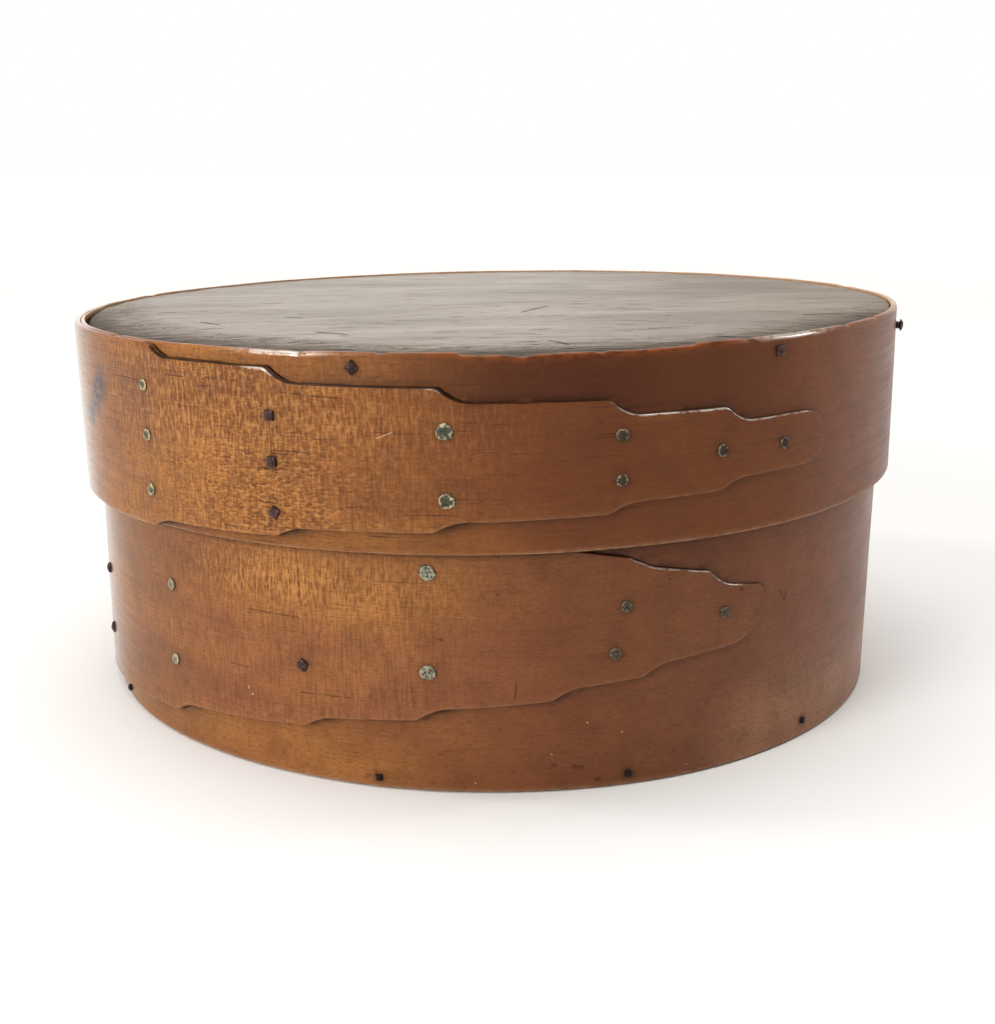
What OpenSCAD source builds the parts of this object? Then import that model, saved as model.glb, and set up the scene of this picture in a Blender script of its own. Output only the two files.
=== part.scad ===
// Round bentwood pantry box with a lift-off lid.
// Each side is one thin strip bent into a spiral, whose outer end laps over the front as a stepped finger.
// Angles are in degrees round the box: 0 is the front (-Y) and positive angles run to the right (+X).

/* [Body] */
// inside diameter of the body
body_inner_d = 189.5; // [150:0.5:260]
// height of the body band at the middle of its rim
body_h = 82.4; // [74:0.2:120]
// thickness of the bottom board
bottom_t = 6; // [5:0.5:10]

/* [Lid] */
// height of the lid band
lid_h = 38.4; // [34:0.2:50]
// thickness of the lid board
lid_board_t = 6.4; // [5:0.1:10]
// depth of the lid board's top below the edge of the lid band
lid_inset = 0.2; // [0.1:0.1:2]
// gap between the lid and the body all round
lid_gap = 0.9; // [0.3:0.05:1.5]
// lean of the lid, which follows the body's uneven rim down to the left
lid_lean = 1.15; // [0:0.05:2]

/* [Bent strips] */
// thickness of the strips
band_t = 1.4; // [1.3:0.1:2.2]
// thickness left at the feathered inner end of a strip
feather_t = 0.4; // [0.3:0.05:0.8]
// angle over which the inner end is feathered
feather_span = 40; // [20:1:60]
// thickness left at the tip of a finger
tip_t = 0.6; // [0.4:0.05:1]
// angle over which a finger thins down to its tip
taper_span = 45; // [20:1:60]
// bevel along the outer edges of a strip
edge_bevel = 0.4; // [0.2:0.05:0.6]
// length of the hollow cove that ends each step of a finger
cove_len = 6; // [3:0.5:8]

/* [Body finger] */
// angle of the strip's inner end
body_inner_end = -120; // [-130:1:-100]
// angle of the finger's tip
body_tip = 35.2; // [34:0.1:50]
// angles of the corners along the lower edge
body_low_corners = [-82, -44.8, -23.2, -9.2, 6.6, 17.8]; // [-90:0.1:25]
// angles of the corners along the upper edge
body_top_corners = [-62, -41, -19, -4, 15.5, 26.2]; // [-90:0.1:30]
// depth of each step in the lower edge
body_low_step = 2.05; // [1:0.05:3]
// depth of each step in the upper edge
body_top_step = 2.6; // [1:0.05:4]
// climb of the lower edge between its steps, in all
body_low_climb = 14.5; // [5:0.5:20]
// width of the finger where its round nose begins
body_tip_w = 12.2; // [8:0.5:20]
// length of the round nose along the lower edge, as an angle
body_nose_low = 6.1; // [2:0.1:10]
// length of the round nose along the upper edge, as an angle
body_nose_top = 1.5; // [1:0.1:10]
// where the tip lies across the nose, from lower edge 0 to upper edge 1
body_tip_at = 0.72; // [0.1:0.01:0.9]

/* [Lid finger] */
// angle of the strip's inner end
lid_inner_end = -92; // [-130:1:-90]
// angle of the finger's tip
lid_tip = 42.6; // [40:0.1:55]
// angles of the corners along the lower edge
lid_low_corners = [-44.2, -24.9, -6.7, 12.2, 25.9]; // [-90:0.1:32]
// angles of the corners along the upper edge
lid_top_corners = [-43.6, -25.4, -6.2, 12.2, 26.4]; // [-90:0.1:32]
// depth of each step in the lower edge
lid_low_step = 1.95; // [1:0.05:3]
// depth of each step in the upper edge
lid_top_step = 2.9; // [1:0.05:4]
// climb of the lower edge between its steps, in all
lid_low_climb = 1.95; // [0:0.05:3]
// width of the finger where its round nose begins
lid_tip_w = 11; // [8:0.1:16]
// length of the round nose along the lower edge, as an angle
lid_nose_low = 4.5; // [2:0.1:10]
// length of the round nose along the upper edge, as an angle
lid_nose_top = 4.2; // [1:0.1:10]
// where the tip lies across the nose, from lower edge 0 to upper edge 1
lid_tip_at = 0.47; // [0.1:0.01:0.9]

/* [Tacks and nails] */
// radius of a large copper tack's head
large_head_r = 1.7; // [1.2:0.05:2.5]
// radius of a small copper tack's head
small_head_r = 1.3; // [1:0.05:2]
// height of a copper tack's head
tack_head_h = 0.6; // [0.3:0.05:1]
// half diagonal of a square iron nail head
nail_head_r = 1.4; // [1:0.05:2]
// height of an iron nail head
nail_head_h = 0.5; // [0.3:0.05:1]
// radius of the tack and nail shanks
shank_r = 0.55; // [0.4:0.05:0.8]
// radius of a point clinched over on the inside
clinch_r = 0.95; // [0.8:0.05:1.3]
// depth of a clinched point in the wood
clinch_h = 0.4; // [0.2:0.05:0.6]
// length of the nails that hold the boards
rim_nail_len = 14; // [10:0.5:20]

/* [Tack rows] */
// angle of the nails at the root of the body finger
body_root_row = -69; // [-80:0.5:-60]
// places of the root nails across the finger, from lower edge 0 to upper edge 1
body_root_at = [0.13, 0.32]; // [0:0.01:1]
// angle of the tacks along the body seam
body_seam_row = -44.6; // [-50:0.1:-40]
// places of the visible seam tacks across the body finger
body_seam_at = [0.17, 0.42]; // [0:0.01:1]
// angle of the iron nails in the body finger
body_nail_row = -23.3; // [-28:0.1:-18]
// place of the visible iron nail across the body finger
body_nail_at = 0.24; // [0:0.01:1]
// place of the seam tack and the nail set flush under the lid
body_flush_at = [0.67, 0.75]; // [0:0.01:1]
// angle of the large tacks in the body finger
body_large_row = -7.8; // [-12:0.1:-2]
// places of the large tacks across the body finger
body_large_at = [0.21, 0.7]; // [0:0.01:1]
// angles of the pair of tacks near the body tip
body_pair_rows = [14, 15.3]; // [10:0.1:20]
// places of the pair of tacks across the body finger
body_pair_at = [0.24, 0.61]; // [0:0.01:1]
// angle of the tack in the body tip
body_tip_row = 28.7; // [25:0.1:32]
// place of the tip tack across the body finger
body_tip_tack_at = 0.55; // [0:0.01:1]
// angle of the tacks along the lid seam
lid_seam_row = -44.2; // [-50:0.1:-40]
// places of the seam tacks across the lid finger
lid_seam_at = [0.2, 0.5, 0.77]; // [0:0.01:1]
// angle of the iron nails in the lid finger
lid_nail_row = -24.9; // [-28:0.1:-20]
// places of the iron nails across the lid finger
lid_nail_at = [0.15, 0.46, 0.74]; // [0:0.01:1]
// angle of the large tacks in the lid finger
lid_large_row = -5.3; // [-10:0.1:0]
// places of the large tacks across the lid finger
lid_large_at = [0.2, 0.73]; // [0:0.01:1]
// angle of the pair of tacks beyond the large ones in the lid finger
lid_pair_row = 13.5; // [10:0.1:18]
// places of that pair of tacks across the lid finger
lid_pair_at = [0.28, 0.74]; // [0:0.01:1]
// angles of the two tacks towards the lid tip
lid_tip_rows = [25.7, 34.9]; // [20:0.1:40]
// place of the two tip tacks across the lid finger
lid_tip_tack_at = 0.49; // [0:0.01:1]

/* [Board nails] */
// angles of the nails that hold the lid board
lid_rim_angles = [-15.3, 34.1, 73, 121, 169, 217, 265]; // [-90:0.1:269]
// depths of those nails below the top of the lid board
lid_rim_downs = [2.6, 2.8, 4.6, 2.9, 2.7, 3, 2.7]; // [2:0.1:4.8]
// angles of the nails that hold the bottom board
body_rim_angles = [-63, -14.1, 16.3, 45, 90, 135, 180, 225]; // [-90:0.1:269]
// heights of those nails above the base
body_rim_ups = [1.9, 2.1, 2.4, 3.6, 2.6, 2.3, 2.8, 2.4]; // [1.6:0.1:4]

/* [Clearances] */
// gap between the two layers of a lap
lap_gap = 0.08; // [0.06:0.01:0.2]
// gap between a board and the band round it
board_fit = 0.15; // [0.1:0.05:0.5]
// gap between the lid board and the body rim that it rests on
seat_gap = 0.1; // [0.05:0.05:0.3]
// gap round a shank, under a head and round a clinched point
shank_fit = 0.05; // [0.03:0.01:0.1]

/* [Hidden] */

// smoothness of the round pieces
$fn = 48;
// one full turn
turn = 360;
// spacing of the sections along a strip
section_step = 3;
// least spacing that is kept between two sections
section_min = 0.2;
// angle over which a strip climbs onto its own inner end
climb_span = 9;
// angle over which the lid band comes back to the body past the finger's tip
settle_span = 20;
// share of a nose's length at which its last section is cut off
nose_end = 0.99;
// fractions of a cove that get a section of their own
cove_marks = [0, 0.12, 0.28, 0.48, 0.72, 1];
// fractions of a nose that get a section of their own
nose_marks = [0, 0.3, 0.55, 0.75, 0.9];
// share of a strip's thickness and width that a bevel may take
bevel_share = 0.35;
// extra length of a hole past the face that it opens in
past = 1;
// sides of a square nail head
square_sides = 4;
// turn that sets a square head upright
square_turn = 45;
// share of a copper head's radius left on its top
crown = 0.62;
// bevel on the upper edge of the lid board
board_bevel = 1;
// spacing of the points round the lid board
board_step = 3;

body_r = body_inner_d / 2;
cove_span = cove_len / body_r * 180 / PI;
board_low = body_h + seat_gap;
board_top = board_low + lid_board_t;
lid_top = board_top + lid_inset;
lid_low = lid_top - lid_h;
overlap = body_h - lid_low;
lean_z = body_h - overlap / 2;
lean_room = overlap / 2 * tan(lid_lean);
lid_space = lid_gap + lean_room;
lid_r = body_r + band_t + lid_space;
body_top_climb = body_h - body_tip_w - body_low_climb
    - len(body_low_corners) * body_low_step - len(body_top_corners) * body_top_step;
lid_top_climb = lid_h - lid_tip_w - lid_low_climb
    - len(lid_low_corners) * lid_low_step - len(lid_top_corners) * lid_top_step;

// a finger's edge: corner angles, step depth, climb in all, angle where the nose begins
body_low_edge = [body_low_corners, body_low_step, body_low_climb, body_tip - body_nose_low];
body_top_edge = [body_top_corners, body_top_step, body_top_climb, body_tip - body_nose_top];
lid_low_edge = [lid_low_corners, lid_low_step, lid_low_climb, lid_tip - lid_nose_low];
lid_top_edge = [lid_top_corners, lid_top_step, lid_top_climb, lid_tip - lid_nose_top];

// a strip: inner end, tip, lower and upper height, lower and upper edge, place of the tip, lid or not
body_strip = [body_inner_end, body_tip, 0, body_h, body_low_edge, body_top_edge, body_tip_at, false];
lid_strip = [lid_inner_end, lid_tip, lid_low, lid_top, lid_low_edge, lid_top_edge, lid_tip_at, true];

function inner_end(s) = s[0];
function tip(s) = s[1];
function base_z(s) = s[2];
function rim_h(s) = s[3];
function low_edge(s) = s[4];
function top_edge(s) = s[5];
function tip_at(s) = s[6];
function is_lid(s) = s[7];
function corners(e) = e[0];
function root(e) = e[0][0];
function step(e) = e[1];
function climb(e) = e[2];
function nose_from(e) = e[3];

function unit(x) = min(1, max(0, x));
function smooth(x) = let (u = unit(x)) u * u * (3 - 2 * u);
function total(v) = v * [for (x = v) 1];
function around(a) = a - turn * floor((a + turn / 2) / turn);
function sorted(v) = len(v) < 2 ? v : let (m = v[floor(len(v) / 2)])
    concat(sorted([for (x = v) if (x < m) x]), [m], sorted([for (x = v) if (x > m) x]));

// thickness of a strip at angle a along it
function strip_t(s, a) = min(
    feather_t + (band_t - feather_t) * unit((a - inner_end(s)) / feather_span),
    tip_t + (band_t - tip_t) * unit((turn + tip(s) - a) / taper_span));

// height of a strip's inner face above the round core that it is bent on
function lift(s, a) = a < turn + inner_end(s)
    ? (feather_t + lap_gap) * smooth((a - turn - inner_end(s) + climb_span) / climb_span)
    : strip_t(s, a - turn) + lap_gap;

// outer radius of the body's lapped side at angle p, eased past the tip
function body_skin(p) = let (w = around(p)) body_r + (w > body_tip
    ? band_t + (lap_gap + tip_t) * (1 - smooth((w - body_tip) / settle_span))
    : lift(body_strip, turn + w) + strip_t(body_strip, turn + w));

// radius of the core at angle p: the round inside of the body, or the body itself for the lid
function core(s, p) = is_lid(s) ? body_skin(p) + lid_space : body_r;
function inner_r(s, a) = core(s, a) + lift(s, a);
function outer_r(s, a) = inner_r(s, a) + strip_t(s, a);

// outline of the lid board, cut to fit the inside of the lid band
function board_point(p) = let (r = core(lid_strip, p) - board_fit) [r * sin(p), -r * cos(p)];
board_outline = [for (p = [0 : board_step : turn - board_step]) board_point(p)];

// how far an edge has stepped in at angle p of the lap
function cove(d) = 1 - pow(1 - unit(d / cove_span), 2);
function cut_in(e, p) = p <= root(e) ? 0
    : climb(e) * (p - root(e)) / (nose_from(e) - root(e))
        + step(e) * total([for (c = corners(e)) cove(p - c)]);
function nose(p, from, to) = sqrt(max(0, 1 - pow(max(0, p - from) / (to - from), 2)));
function low_run(s, p) = base_z(s) + cut_in(low_edge(s), min(p, nose_from(low_edge(s))));
function top_run(s, p) = rim_h(s) - cut_in(top_edge(s), min(p, nose_from(top_edge(s))));
function tip_z(s) = low_run(s, tip(s)) * (1 - tip_at(s)) + top_run(s, tip(s)) * tip_at(s);
function low_z(s, p) = tip_z(s) + (low_run(s, p) - tip_z(s)) * nose(p, nose_from(low_edge(s)), tip(s));
function top_z(s, p) = tip_z(s) + (top_run(s, p) - tip_z(s)) * nose(p, nose_from(top_edge(s)), tip(s));

// the uneven rim plane of the body, which the lid board rests on
function rim_z(x) = lean_z + (body_h - lean_z) / cos(lid_lean) + x * tan(lid_lean);

// one cross-section of a strip, bevelled on its outer corners
function strip_low(s, a) = a <= turn + root(low_edge(s)) ? base_z(s) : low_z(s, a - turn);
function full_top(s, x) = is_lid(s) ? rim_h(s) : rim_z(x);
function strip_top(s, a, x) = a <= turn + root(top_edge(s)) ? full_top(s, x)
    : min(full_top(s, x), top_z(s, a - turn));
function place(r, a, z) = [r * sin(a), -r * cos(a), z];
function section(s, a) = let (
    ri = inner_r(s, a),
    ro = outer_r(s, a),
    zl = strip_low(s, a),
    b = min(edge_bevel, bevel_share * (ro - ri), bevel_share * (strip_top(s, a, ro * sin(a)) - zl)),
    zi = strip_top(s, a, ri * sin(a)),
    zc = strip_top(s, a, (ro - b) * sin(a)),
    zo = strip_top(s, a, ro * sin(a)))
    [place(ri, a, zl), place(ri, a, zi), place(ro - b, a, zc), place(ro, a, zo - b),
        place(ro, a, zl + b), place(ro - b, a, zl)];
// points in a cross-section
corners_n = 6;

// angles of the sections: even steps, with more at the coves and the nose
function edge_marks(s, e) = concat(
    [for (c = corners(e), m = cove_marks) c + m * cove_span],
    [for (m = nose_marks) nose_from(e) + m * (tip(s) - nose_from(e))]);
function all_marks(s) = sorted(concat(
    [for (a = [inner_end(s) : section_step : turn + nose_from(low_edge(s))]) a],
    [for (p = concat(edge_marks(s, low_edge(s)), edge_marks(s, top_edge(s)))) turn + p],
    [turn + tip(s) - (1 - nose_end) * (tip(s) - nose_from(top_edge(s)))]));
function marks(s) = let (v = all_marks(s))
    [for (i = [0 : len(v) - 1]) if (i == 0 || i == len(v) - 1 || v[i + 1] - v[i] > section_min) v[i]];

// triangles of a strip with n sections
function strip_faces(n) = concat(
    [for (j = [1 : corners_n - 2]) [0, j, j + 1]],
    [for (i = [0 : n - 2], j = [0 : corners_n - 1]) let (k = (j + 1) % corners_n)
        [i * corners_n + j, (i + 1) * corners_n + j, i * corners_n + k]],
    [for (i = [0 : n - 2], j = [0 : corners_n - 1]) let (k = (j + 1) % corners_n)
        [i * corners_n + k, (i + 1) * corners_n + j, (i + 1) * corners_n + k]],
    [for (j = [1 : corners_n - 2]) let (last = (n - 1) * corners_n) [last, last + j + 1, last + j]]);

// outer radius at angle p and height z, on the finger where it covers that place
function covered(s, p, z) = p >= inner_end(s) && p <= tip(s)
    && z > strip_low(s, turn + p) && z < strip_top(s, turn + p, outer_r(s, turn + p) * sin(p));
function under(s, p) = p < inner_end(s) ? turn + p : p;
function seat_r(s, p, z) = let (w = around(p)) outer_r(s, covered(s, w, z) ? turn + w : under(s, w));
// height of a place across the finger at angle p, given from its lower edge 0 to its upper edge 1
function across(s, p, at) = low_z(s, p) * (1 - at) + top_z(s, p) * at;

module bent_strip(s) {
    m = marks(s);
    polyhedron(points = [for (a = m) each section(s, a)], faces = strip_faces(len(m)));
}

// sets its children on the side of a strip, with +Z pointing out of the wood
module on_side(s, p, z) {
    r = seat_r(s, p, z);
    translate(place(r, p, z))
        rotate([0, 0, p])
            rotate([90, 0, 0])
                children();
}

// wood between the head's seat and the inside, at a place on a strip
function grip(s, p, z) = seat_r(s, p, z) - core(s, p);

// a copper tack driven through the lap, its point clinched over flush on the inside
module tack(head_r, depth) {
    translate([0, 0, shank_fit])
        cylinder(r1 = head_r, r2 = head_r * crown, h = tack_head_h);
    clinched_shank(depth);
}

// a square-headed iron nail driven through the lap, clinched the same way
module lap_nail(depth, sunk) {
    translate([0, 0, shank_fit - sunk])
        rotate([0, 0, square_turn])
            cylinder(r = nail_head_r, h = nail_head_h, $fn = square_sides);
    clinched_shank(depth);
}

module clinched_shank(depth) {
    translate([0, 0, shank_fit - depth])
        cylinder(r = shank_r, h = depth);
    translate([0, 0, shank_fit - depth])
        cylinder(r = clinch_r, h = clinch_h);
}

// the hole that a clinched fastener leaves in the lap
module lap_hole(depth) {
    translate([0, 0, -depth - past])
        cylinder(r = shank_r + shank_fit, h = depth + 2 * past);
    translate([0, 0, -depth - past])
        cylinder(r = clinch_r + shank_fit, h = past + clinch_h + 2 * shank_fit);
}

// the recess of a head that is set flush where the lid slides over it
module flush_recess(head_r, head_h) {
    translate([0, 0, -head_h])
        cylinder(r = head_r + shank_fit, h = head_h + past);
}

// a nail driven through a band into the edge of a board
module rim_nail() {
    translate([0, 0, shank_fit])
        rotate([0, 0, square_turn])
            cylinder(r = nail_head_r, h = nail_head_h, $fn = square_sides);
    translate([0, 0, -rim_nail_len])
        cylinder(r = shank_r, h = rim_nail_len + shank_fit);
}

module rim_hole() {
    translate([0, 0, -rim_nail_len - shank_fit])
        cylinder(r = shank_r + shank_fit, h = rim_nail_len + shank_fit + past);
}

// places a fastener or its hole at one place across a finger
module on_finger(s, p, at) {
    on_side(s, p, across(s, p, at))
        children();
}

// places a board nail or its hole at every angle round the base, and round the lid
module body_rim_places() {
    for (i = [0 : len(body_rim_angles) - 1])
        on_side(body_strip, body_rim_angles[i], body_rim_ups[i])
            children();
}

module lid_rim_places() {
    for (i = [0 : len(lid_rim_angles) - 1])
        on_side(lid_strip, lid_rim_angles[i], board_top - lid_rim_downs[i])
            children();
}

// leans the lid over to lie on the body's rim
module leaning() {
    translate([0, 0, lean_z])
        rotate([0, -lid_lean, 0])
            translate([0, 0, -lean_z])
                children();
}

module bottom_board() {
    color("#7a5230")
        difference() {
            cylinder(r = body_r - board_fit, h = bottom_t);
            body_rim_places()
                rim_hole();
        }
}

// every place where a clinched fastener passes through the body's lap: angle and place across the finger
body_holes = concat(
    [for (at = body_root_at) [body_root_row, at]],
    [for (at = body_seam_at) [body_seam_row, at]],
    [[body_seam_row, body_flush_at[0]], [body_nail_row, body_nail_at], [body_nail_row, body_flush_at[1]]],
    [for (at = body_large_at) [body_large_row, at]],
    [for (i = [0 : len(body_pair_rows) - 1]) [body_pair_rows[i], body_pair_at[i]]],
    [[body_tip_row, body_tip_tack_at]]);
lid_holes = concat(
    [for (at = lid_seam_at) [lid_seam_row, at]],
    [for (at = lid_nail_at) [lid_nail_row, at]],
    [for (at = lid_large_at) [lid_large_row, at]],
    [for (at = lid_pair_at) [lid_pair_row, at]],
    [for (p = lid_tip_rows) [p, lid_tip_tack_at]]);

module lap_holes(s, holes) {
    for (h = holes)
        on_finger(s, h[0], h[1])
            lap_hole(grip(s, h[0], across(s, h[0], h[1])));
}

module body_band() {
    color("#b06a2c")
        difference() {
            bent_strip(body_strip);
            lap_holes(body_strip, body_holes);
            body_rim_places()
                rim_hole();
            on_finger(body_strip, body_seam_row, body_flush_at[0])
                flush_recess(small_head_r, tack_head_h + shank_fit);
            on_finger(body_strip, body_nail_row, body_flush_at[1])
                flush_recess(nail_head_r, nail_head_h + shank_fit);
        }
}

module finger_tacks(s, p, places, head_r) {
    color("#8c7a52")
        for (at = places)
            on_finger(s, p, at)
                tack(head_r, grip(s, p, across(s, p, at)));
}

module finger_nails(s, p, places) {
    color("#2e2623")
        for (at = places)
            on_finger(s, p, at)
                lap_nail(grip(s, p, across(s, p, at)), 0);
}

module body_root_nails() {
    finger_nails(body_strip, body_root_row, body_root_at);
}

module body_seam_tacks() {
    finger_tacks(body_strip, body_seam_row, body_seam_at, small_head_r);
    color("#8c7a52")
        on_finger(body_strip, body_seam_row, body_flush_at[0])
            translate([0, 0, -tack_head_h - shank_fit])
                tack(small_head_r, grip(body_strip, body_seam_row,
                    across(body_strip, body_seam_row, body_flush_at[0])) - tack_head_h - shank_fit);
}

module body_lap_nails() {
    finger_nails(body_strip, body_nail_row, [body_nail_at]);
    color("#2e2623")
        on_finger(body_strip, body_nail_row, body_flush_at[1])
            lap_nail(grip(body_strip, body_nail_row,
                across(body_strip, body_nail_row, body_flush_at[1])), nail_head_h + shank_fit);
}

module body_large_tacks() {
    finger_tacks(body_strip, body_large_row, body_large_at, large_head_r);
}

module body_pair_tacks() {
    for (i = [0 : len(body_pair_rows) - 1])
        finger_tacks(body_strip, body_pair_rows[i], [body_pair_at[i]], small_head_r);
}

module body_tip_tack() {
    finger_tacks(body_strip, body_tip_row, [body_tip_tack_at], small_head_r);
}

module bottom_nails() {
    color("#2e2623")
        body_rim_places()
            rim_nail();
}

module lid_board() {
    color("#5e4a38")
        leaning()
            difference() {
                union() {
                    translate([0, 0, board_low])
                        linear_extrude(height = lid_board_t - board_bevel)
                            polygon(board_outline);
                    translate([0, 0, board_top - board_bevel])
                        linear_extrude(height = board_bevel, scale = 1 - board_bevel / lid_r)
                            polygon(board_outline);
                }
                lid_rim_places()
                    rim_hole();
            }
}

module lid_band() {
    color("#b06a2c")
        leaning()
            difference() {
                bent_strip(lid_strip);
                lap_holes(lid_strip, lid_holes);
                lid_rim_places()
                    rim_hole();
            }
}

module lid_seam_tacks() {
    leaning()
        finger_tacks(lid_strip, lid_seam_row, lid_seam_at, small_head_r);
}

module lid_lap_nails() {
    leaning()
        finger_nails(lid_strip, lid_nail_row, lid_nail_at);
}

module lid_large_tacks() {
    leaning()
        finger_tacks(lid_strip, lid_large_row, lid_large_at, large_head_r);
}

module lid_pair_tacks() {
    leaning()
        finger_tacks(lid_strip, lid_pair_row, lid_pair_at, small_head_r);
}

module lid_tip_tacks() {
    leaning()
        for (p = lid_tip_rows)
            finger_tacks(lid_strip, p, [lid_tip_tack_at], small_head_r);
}

module lid_board_nails() {
    color("#2e2623")
        leaning()
            lid_rim_places()
                rim_nail();
}

bottom_board();
body_band();
body_root_nails();
body_seam_tacks();
body_lap_nails();
body_large_tacks();
body_pair_tacks();
body_tip_tack();
bottom_nails();
lid_board();
lid_band();
lid_seam_tacks();
lid_lap_nails();
lid_large_tacks();
lid_pair_tacks();
lid_tip_tacks();
lid_board_nails();
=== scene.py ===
import math
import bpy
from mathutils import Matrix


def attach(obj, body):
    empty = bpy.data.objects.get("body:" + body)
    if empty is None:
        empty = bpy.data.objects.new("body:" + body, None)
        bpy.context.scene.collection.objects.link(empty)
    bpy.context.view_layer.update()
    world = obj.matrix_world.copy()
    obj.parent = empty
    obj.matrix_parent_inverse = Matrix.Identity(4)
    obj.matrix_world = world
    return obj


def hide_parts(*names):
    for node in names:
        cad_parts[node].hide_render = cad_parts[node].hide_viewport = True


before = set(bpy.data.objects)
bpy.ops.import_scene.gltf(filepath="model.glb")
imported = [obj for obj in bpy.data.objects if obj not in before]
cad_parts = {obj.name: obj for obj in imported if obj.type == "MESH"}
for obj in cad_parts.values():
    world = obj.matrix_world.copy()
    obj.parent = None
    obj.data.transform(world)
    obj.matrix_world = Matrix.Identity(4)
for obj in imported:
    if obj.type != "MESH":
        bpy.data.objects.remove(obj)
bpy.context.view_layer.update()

from types import SimpleNamespace as Record

import bpy
import numpy as np
from numpy import arange, concatenate, exp, linspace, maximum, minimum, stack, where
from mathutils import Matrix, Vector

# Bentwood pantry box. Lengths are in millimetres until a mesh is made, and angles in degrees round the box:
# 0 is the front (-Y), and positive angles run to the right (+X).
MM = 0.001
TURN = 360.0

# Sizes of the strips and boards, as in the CAD model
BODY_R = 94.75
BODY_H = 82.4
BOTTOM_T = 6.0
BAND_T = 1.4
FEATHER_T = 0.4
FEATHER_SPAN = 40.0
TIP_T = 0.6
TAPER_SPAN = 45.0
LAP_GAP = 0.08
CLIMB_SPAN = 9.0
SETTLE_SPAN = 20.0
COVE_SPAN = math.degrees(6.0 / BODY_R)
BOARD_FIT = 0.15
BOARD_LOW = 82.5
BOARD_TOP = 88.9
LID_TOP = 89.1
LID_LOW = 50.7
LEAN = math.radians(1.15)
LEAN_Z = 66.55
LID_SPACE = 0.9 + (BODY_H - LID_LOW) / 2 * math.tan(LEAN)

# Rounding of the worn edges, and how far the hand-cut edges and bent walls wander
RIM_ROUND = 0.5
BASE_ROUND = 0.35
CUT_ROUND = 0.2
POLISHED_ROUND = 0.22
GLINT_ROUND = 0.5
INNER_ROUND = 0.12
EDGE_WANDER = 0.07
EDGE_DIP = 1.1
WALL_WANDER = 0.22
WALL_INSET = 0.36


def edge(corners, step, climb, nose_from):
    return Record(corners=corners, root=corners[0], step=step, climb=climb, nose_from=nose_from)


def upper_edge(s, corners, step, tip_width, nose_from):
    """An upper edge climbs by what the tip, the steps and the lower edge leave of the strip's height."""
    used = tip_width + s.low.climb + len(s.low.corners) * s.low.step + len(corners) * step
    return edge(corners, step, s.rim - s.base - used, nose_from)


# The two strips: where they end, how high they stand, how far up the nose its point is, where the finger's
# upper edge begins to be worn round and painted with a highlight, and the rows of points up the outside
body = Record(name="body", lid=False, inner_end=-120.0, tip=35.2, base=0.0, rim=BODY_H, tip_at=0.72,
              rubbed=15.0, rows=66)
lid = Record(name="lid", lid=True, inner_end=-92.0, tip=42.6, base=LID_LOW, rim=LID_TOP, tip_at=0.47,
             rubbed=11.8, rows=40)
body.low = edge([-82, -44.8, -23.2, -9.2, 6.6, 17.8], 2.05, 14.5, body.tip - 6.1)
body.top = upper_edge(body, [-62, -41, -19, -4, 15.5, 26.2], 2.6, 12.2, body.tip - 1.5)
lid.low = edge([-44.2, -24.9, -6.7, 12.2, 25.9], 1.95, 1.95, lid.tip - 4.5)
lid.top = upper_edge(lid, [-43.6, -25.4, -6.2, 12.2, 26.4], 2.9, 11.0, lid.tip - 4.2)


# Smooth noise
def lattice(i, seed):
    h = i[0] * 73856093 ^ i[1] * 19349663 ^ i[2] * 83492791 ^ seed * 2654435
    h = (h ^ h >> 13) * 1274126177 & 0x7FFFFFFF
    h = (h ^ h >> 15) * 668265263 & 0x7FFFFFFF
    return (h & 0xFFFF) / 32767.5 - 1


def wander(x, y, z, seed):
    """Smooth value noise between -1 and 1."""
    p = np.broadcast_arrays(np.asarray(x, float), np.asarray(y, float), np.asarray(z, float))
    low = [np.floor(c).astype(np.int64) for c in p]
    f = [c - i for c, i in zip(p, low)]
    f = [c * c * (3 - 2 * c) for c in f]
    out = 0
    for k in range(8):
        d = (k & 1, k >> 1 & 1, k >> 2)
        w = 1
        for c, e in zip(f, d):
            w = w * (c if e else 1 - c)
        out = out + w * lattice([i + e for i, e in zip(low, d)], seed)
    return out


# Curves
def unit(x):
    return np.clip(x, 0, 1)


def smooth(x):
    u = unit(x)
    return u * u * (3 - 2 * u)


def rise(x, start, span):
    """From 0 to 1 over a span that begins at start."""
    return smooth((x - start) / span)


def fall(x, end, span):
    """From 1 to 0 over a span that finishes at end."""
    return smooth((end - x) / span)


def bell(x, middle, width):
    return exp(-((x - middle) / width) ** 2)


def sin(a):
    return np.sin(np.radians(a))


def cos(a):
    return np.cos(np.radians(a))


def around(a):
    return (a + TURN / 2) % TURN - TURN / 2


# Form of a lapped strip, at angle a along it or at angle p of the lap
def strip_t(s, a):
    return minimum(FEATHER_T + (BAND_T - FEATHER_T) * unit((a - s.inner_end) / FEATHER_SPAN),
                   TIP_T + (BAND_T - TIP_T) * unit((TURN + s.tip - a) / TAPER_SPAN))


def lift(s, a):
    climbing = (FEATHER_T + LAP_GAP) * smooth((a - TURN - s.inner_end + CLIMB_SPAN) / CLIMB_SPAN)
    return where(a < TURN + s.inner_end, climbing, strip_t(s, a - TURN) + LAP_GAP)


def body_skin(p):
    w = around(p)
    past = BAND_T + (LAP_GAP + TIP_T) * (1 - smooth((w - body.tip) / SETTLE_SPAN))
    return BODY_R + where(w > body.tip, past, lift(body, TURN + w) + strip_t(body, TURN + w))


def core(s, p):
    return body_skin(p) + LID_SPACE if s.lid else BODY_R + 0 * p


def inner_r(s, a):
    return core(s, a) + lift(s, a)


def outer_r(s, a):
    return inner_r(s, a) + strip_t(s, a)


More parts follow.
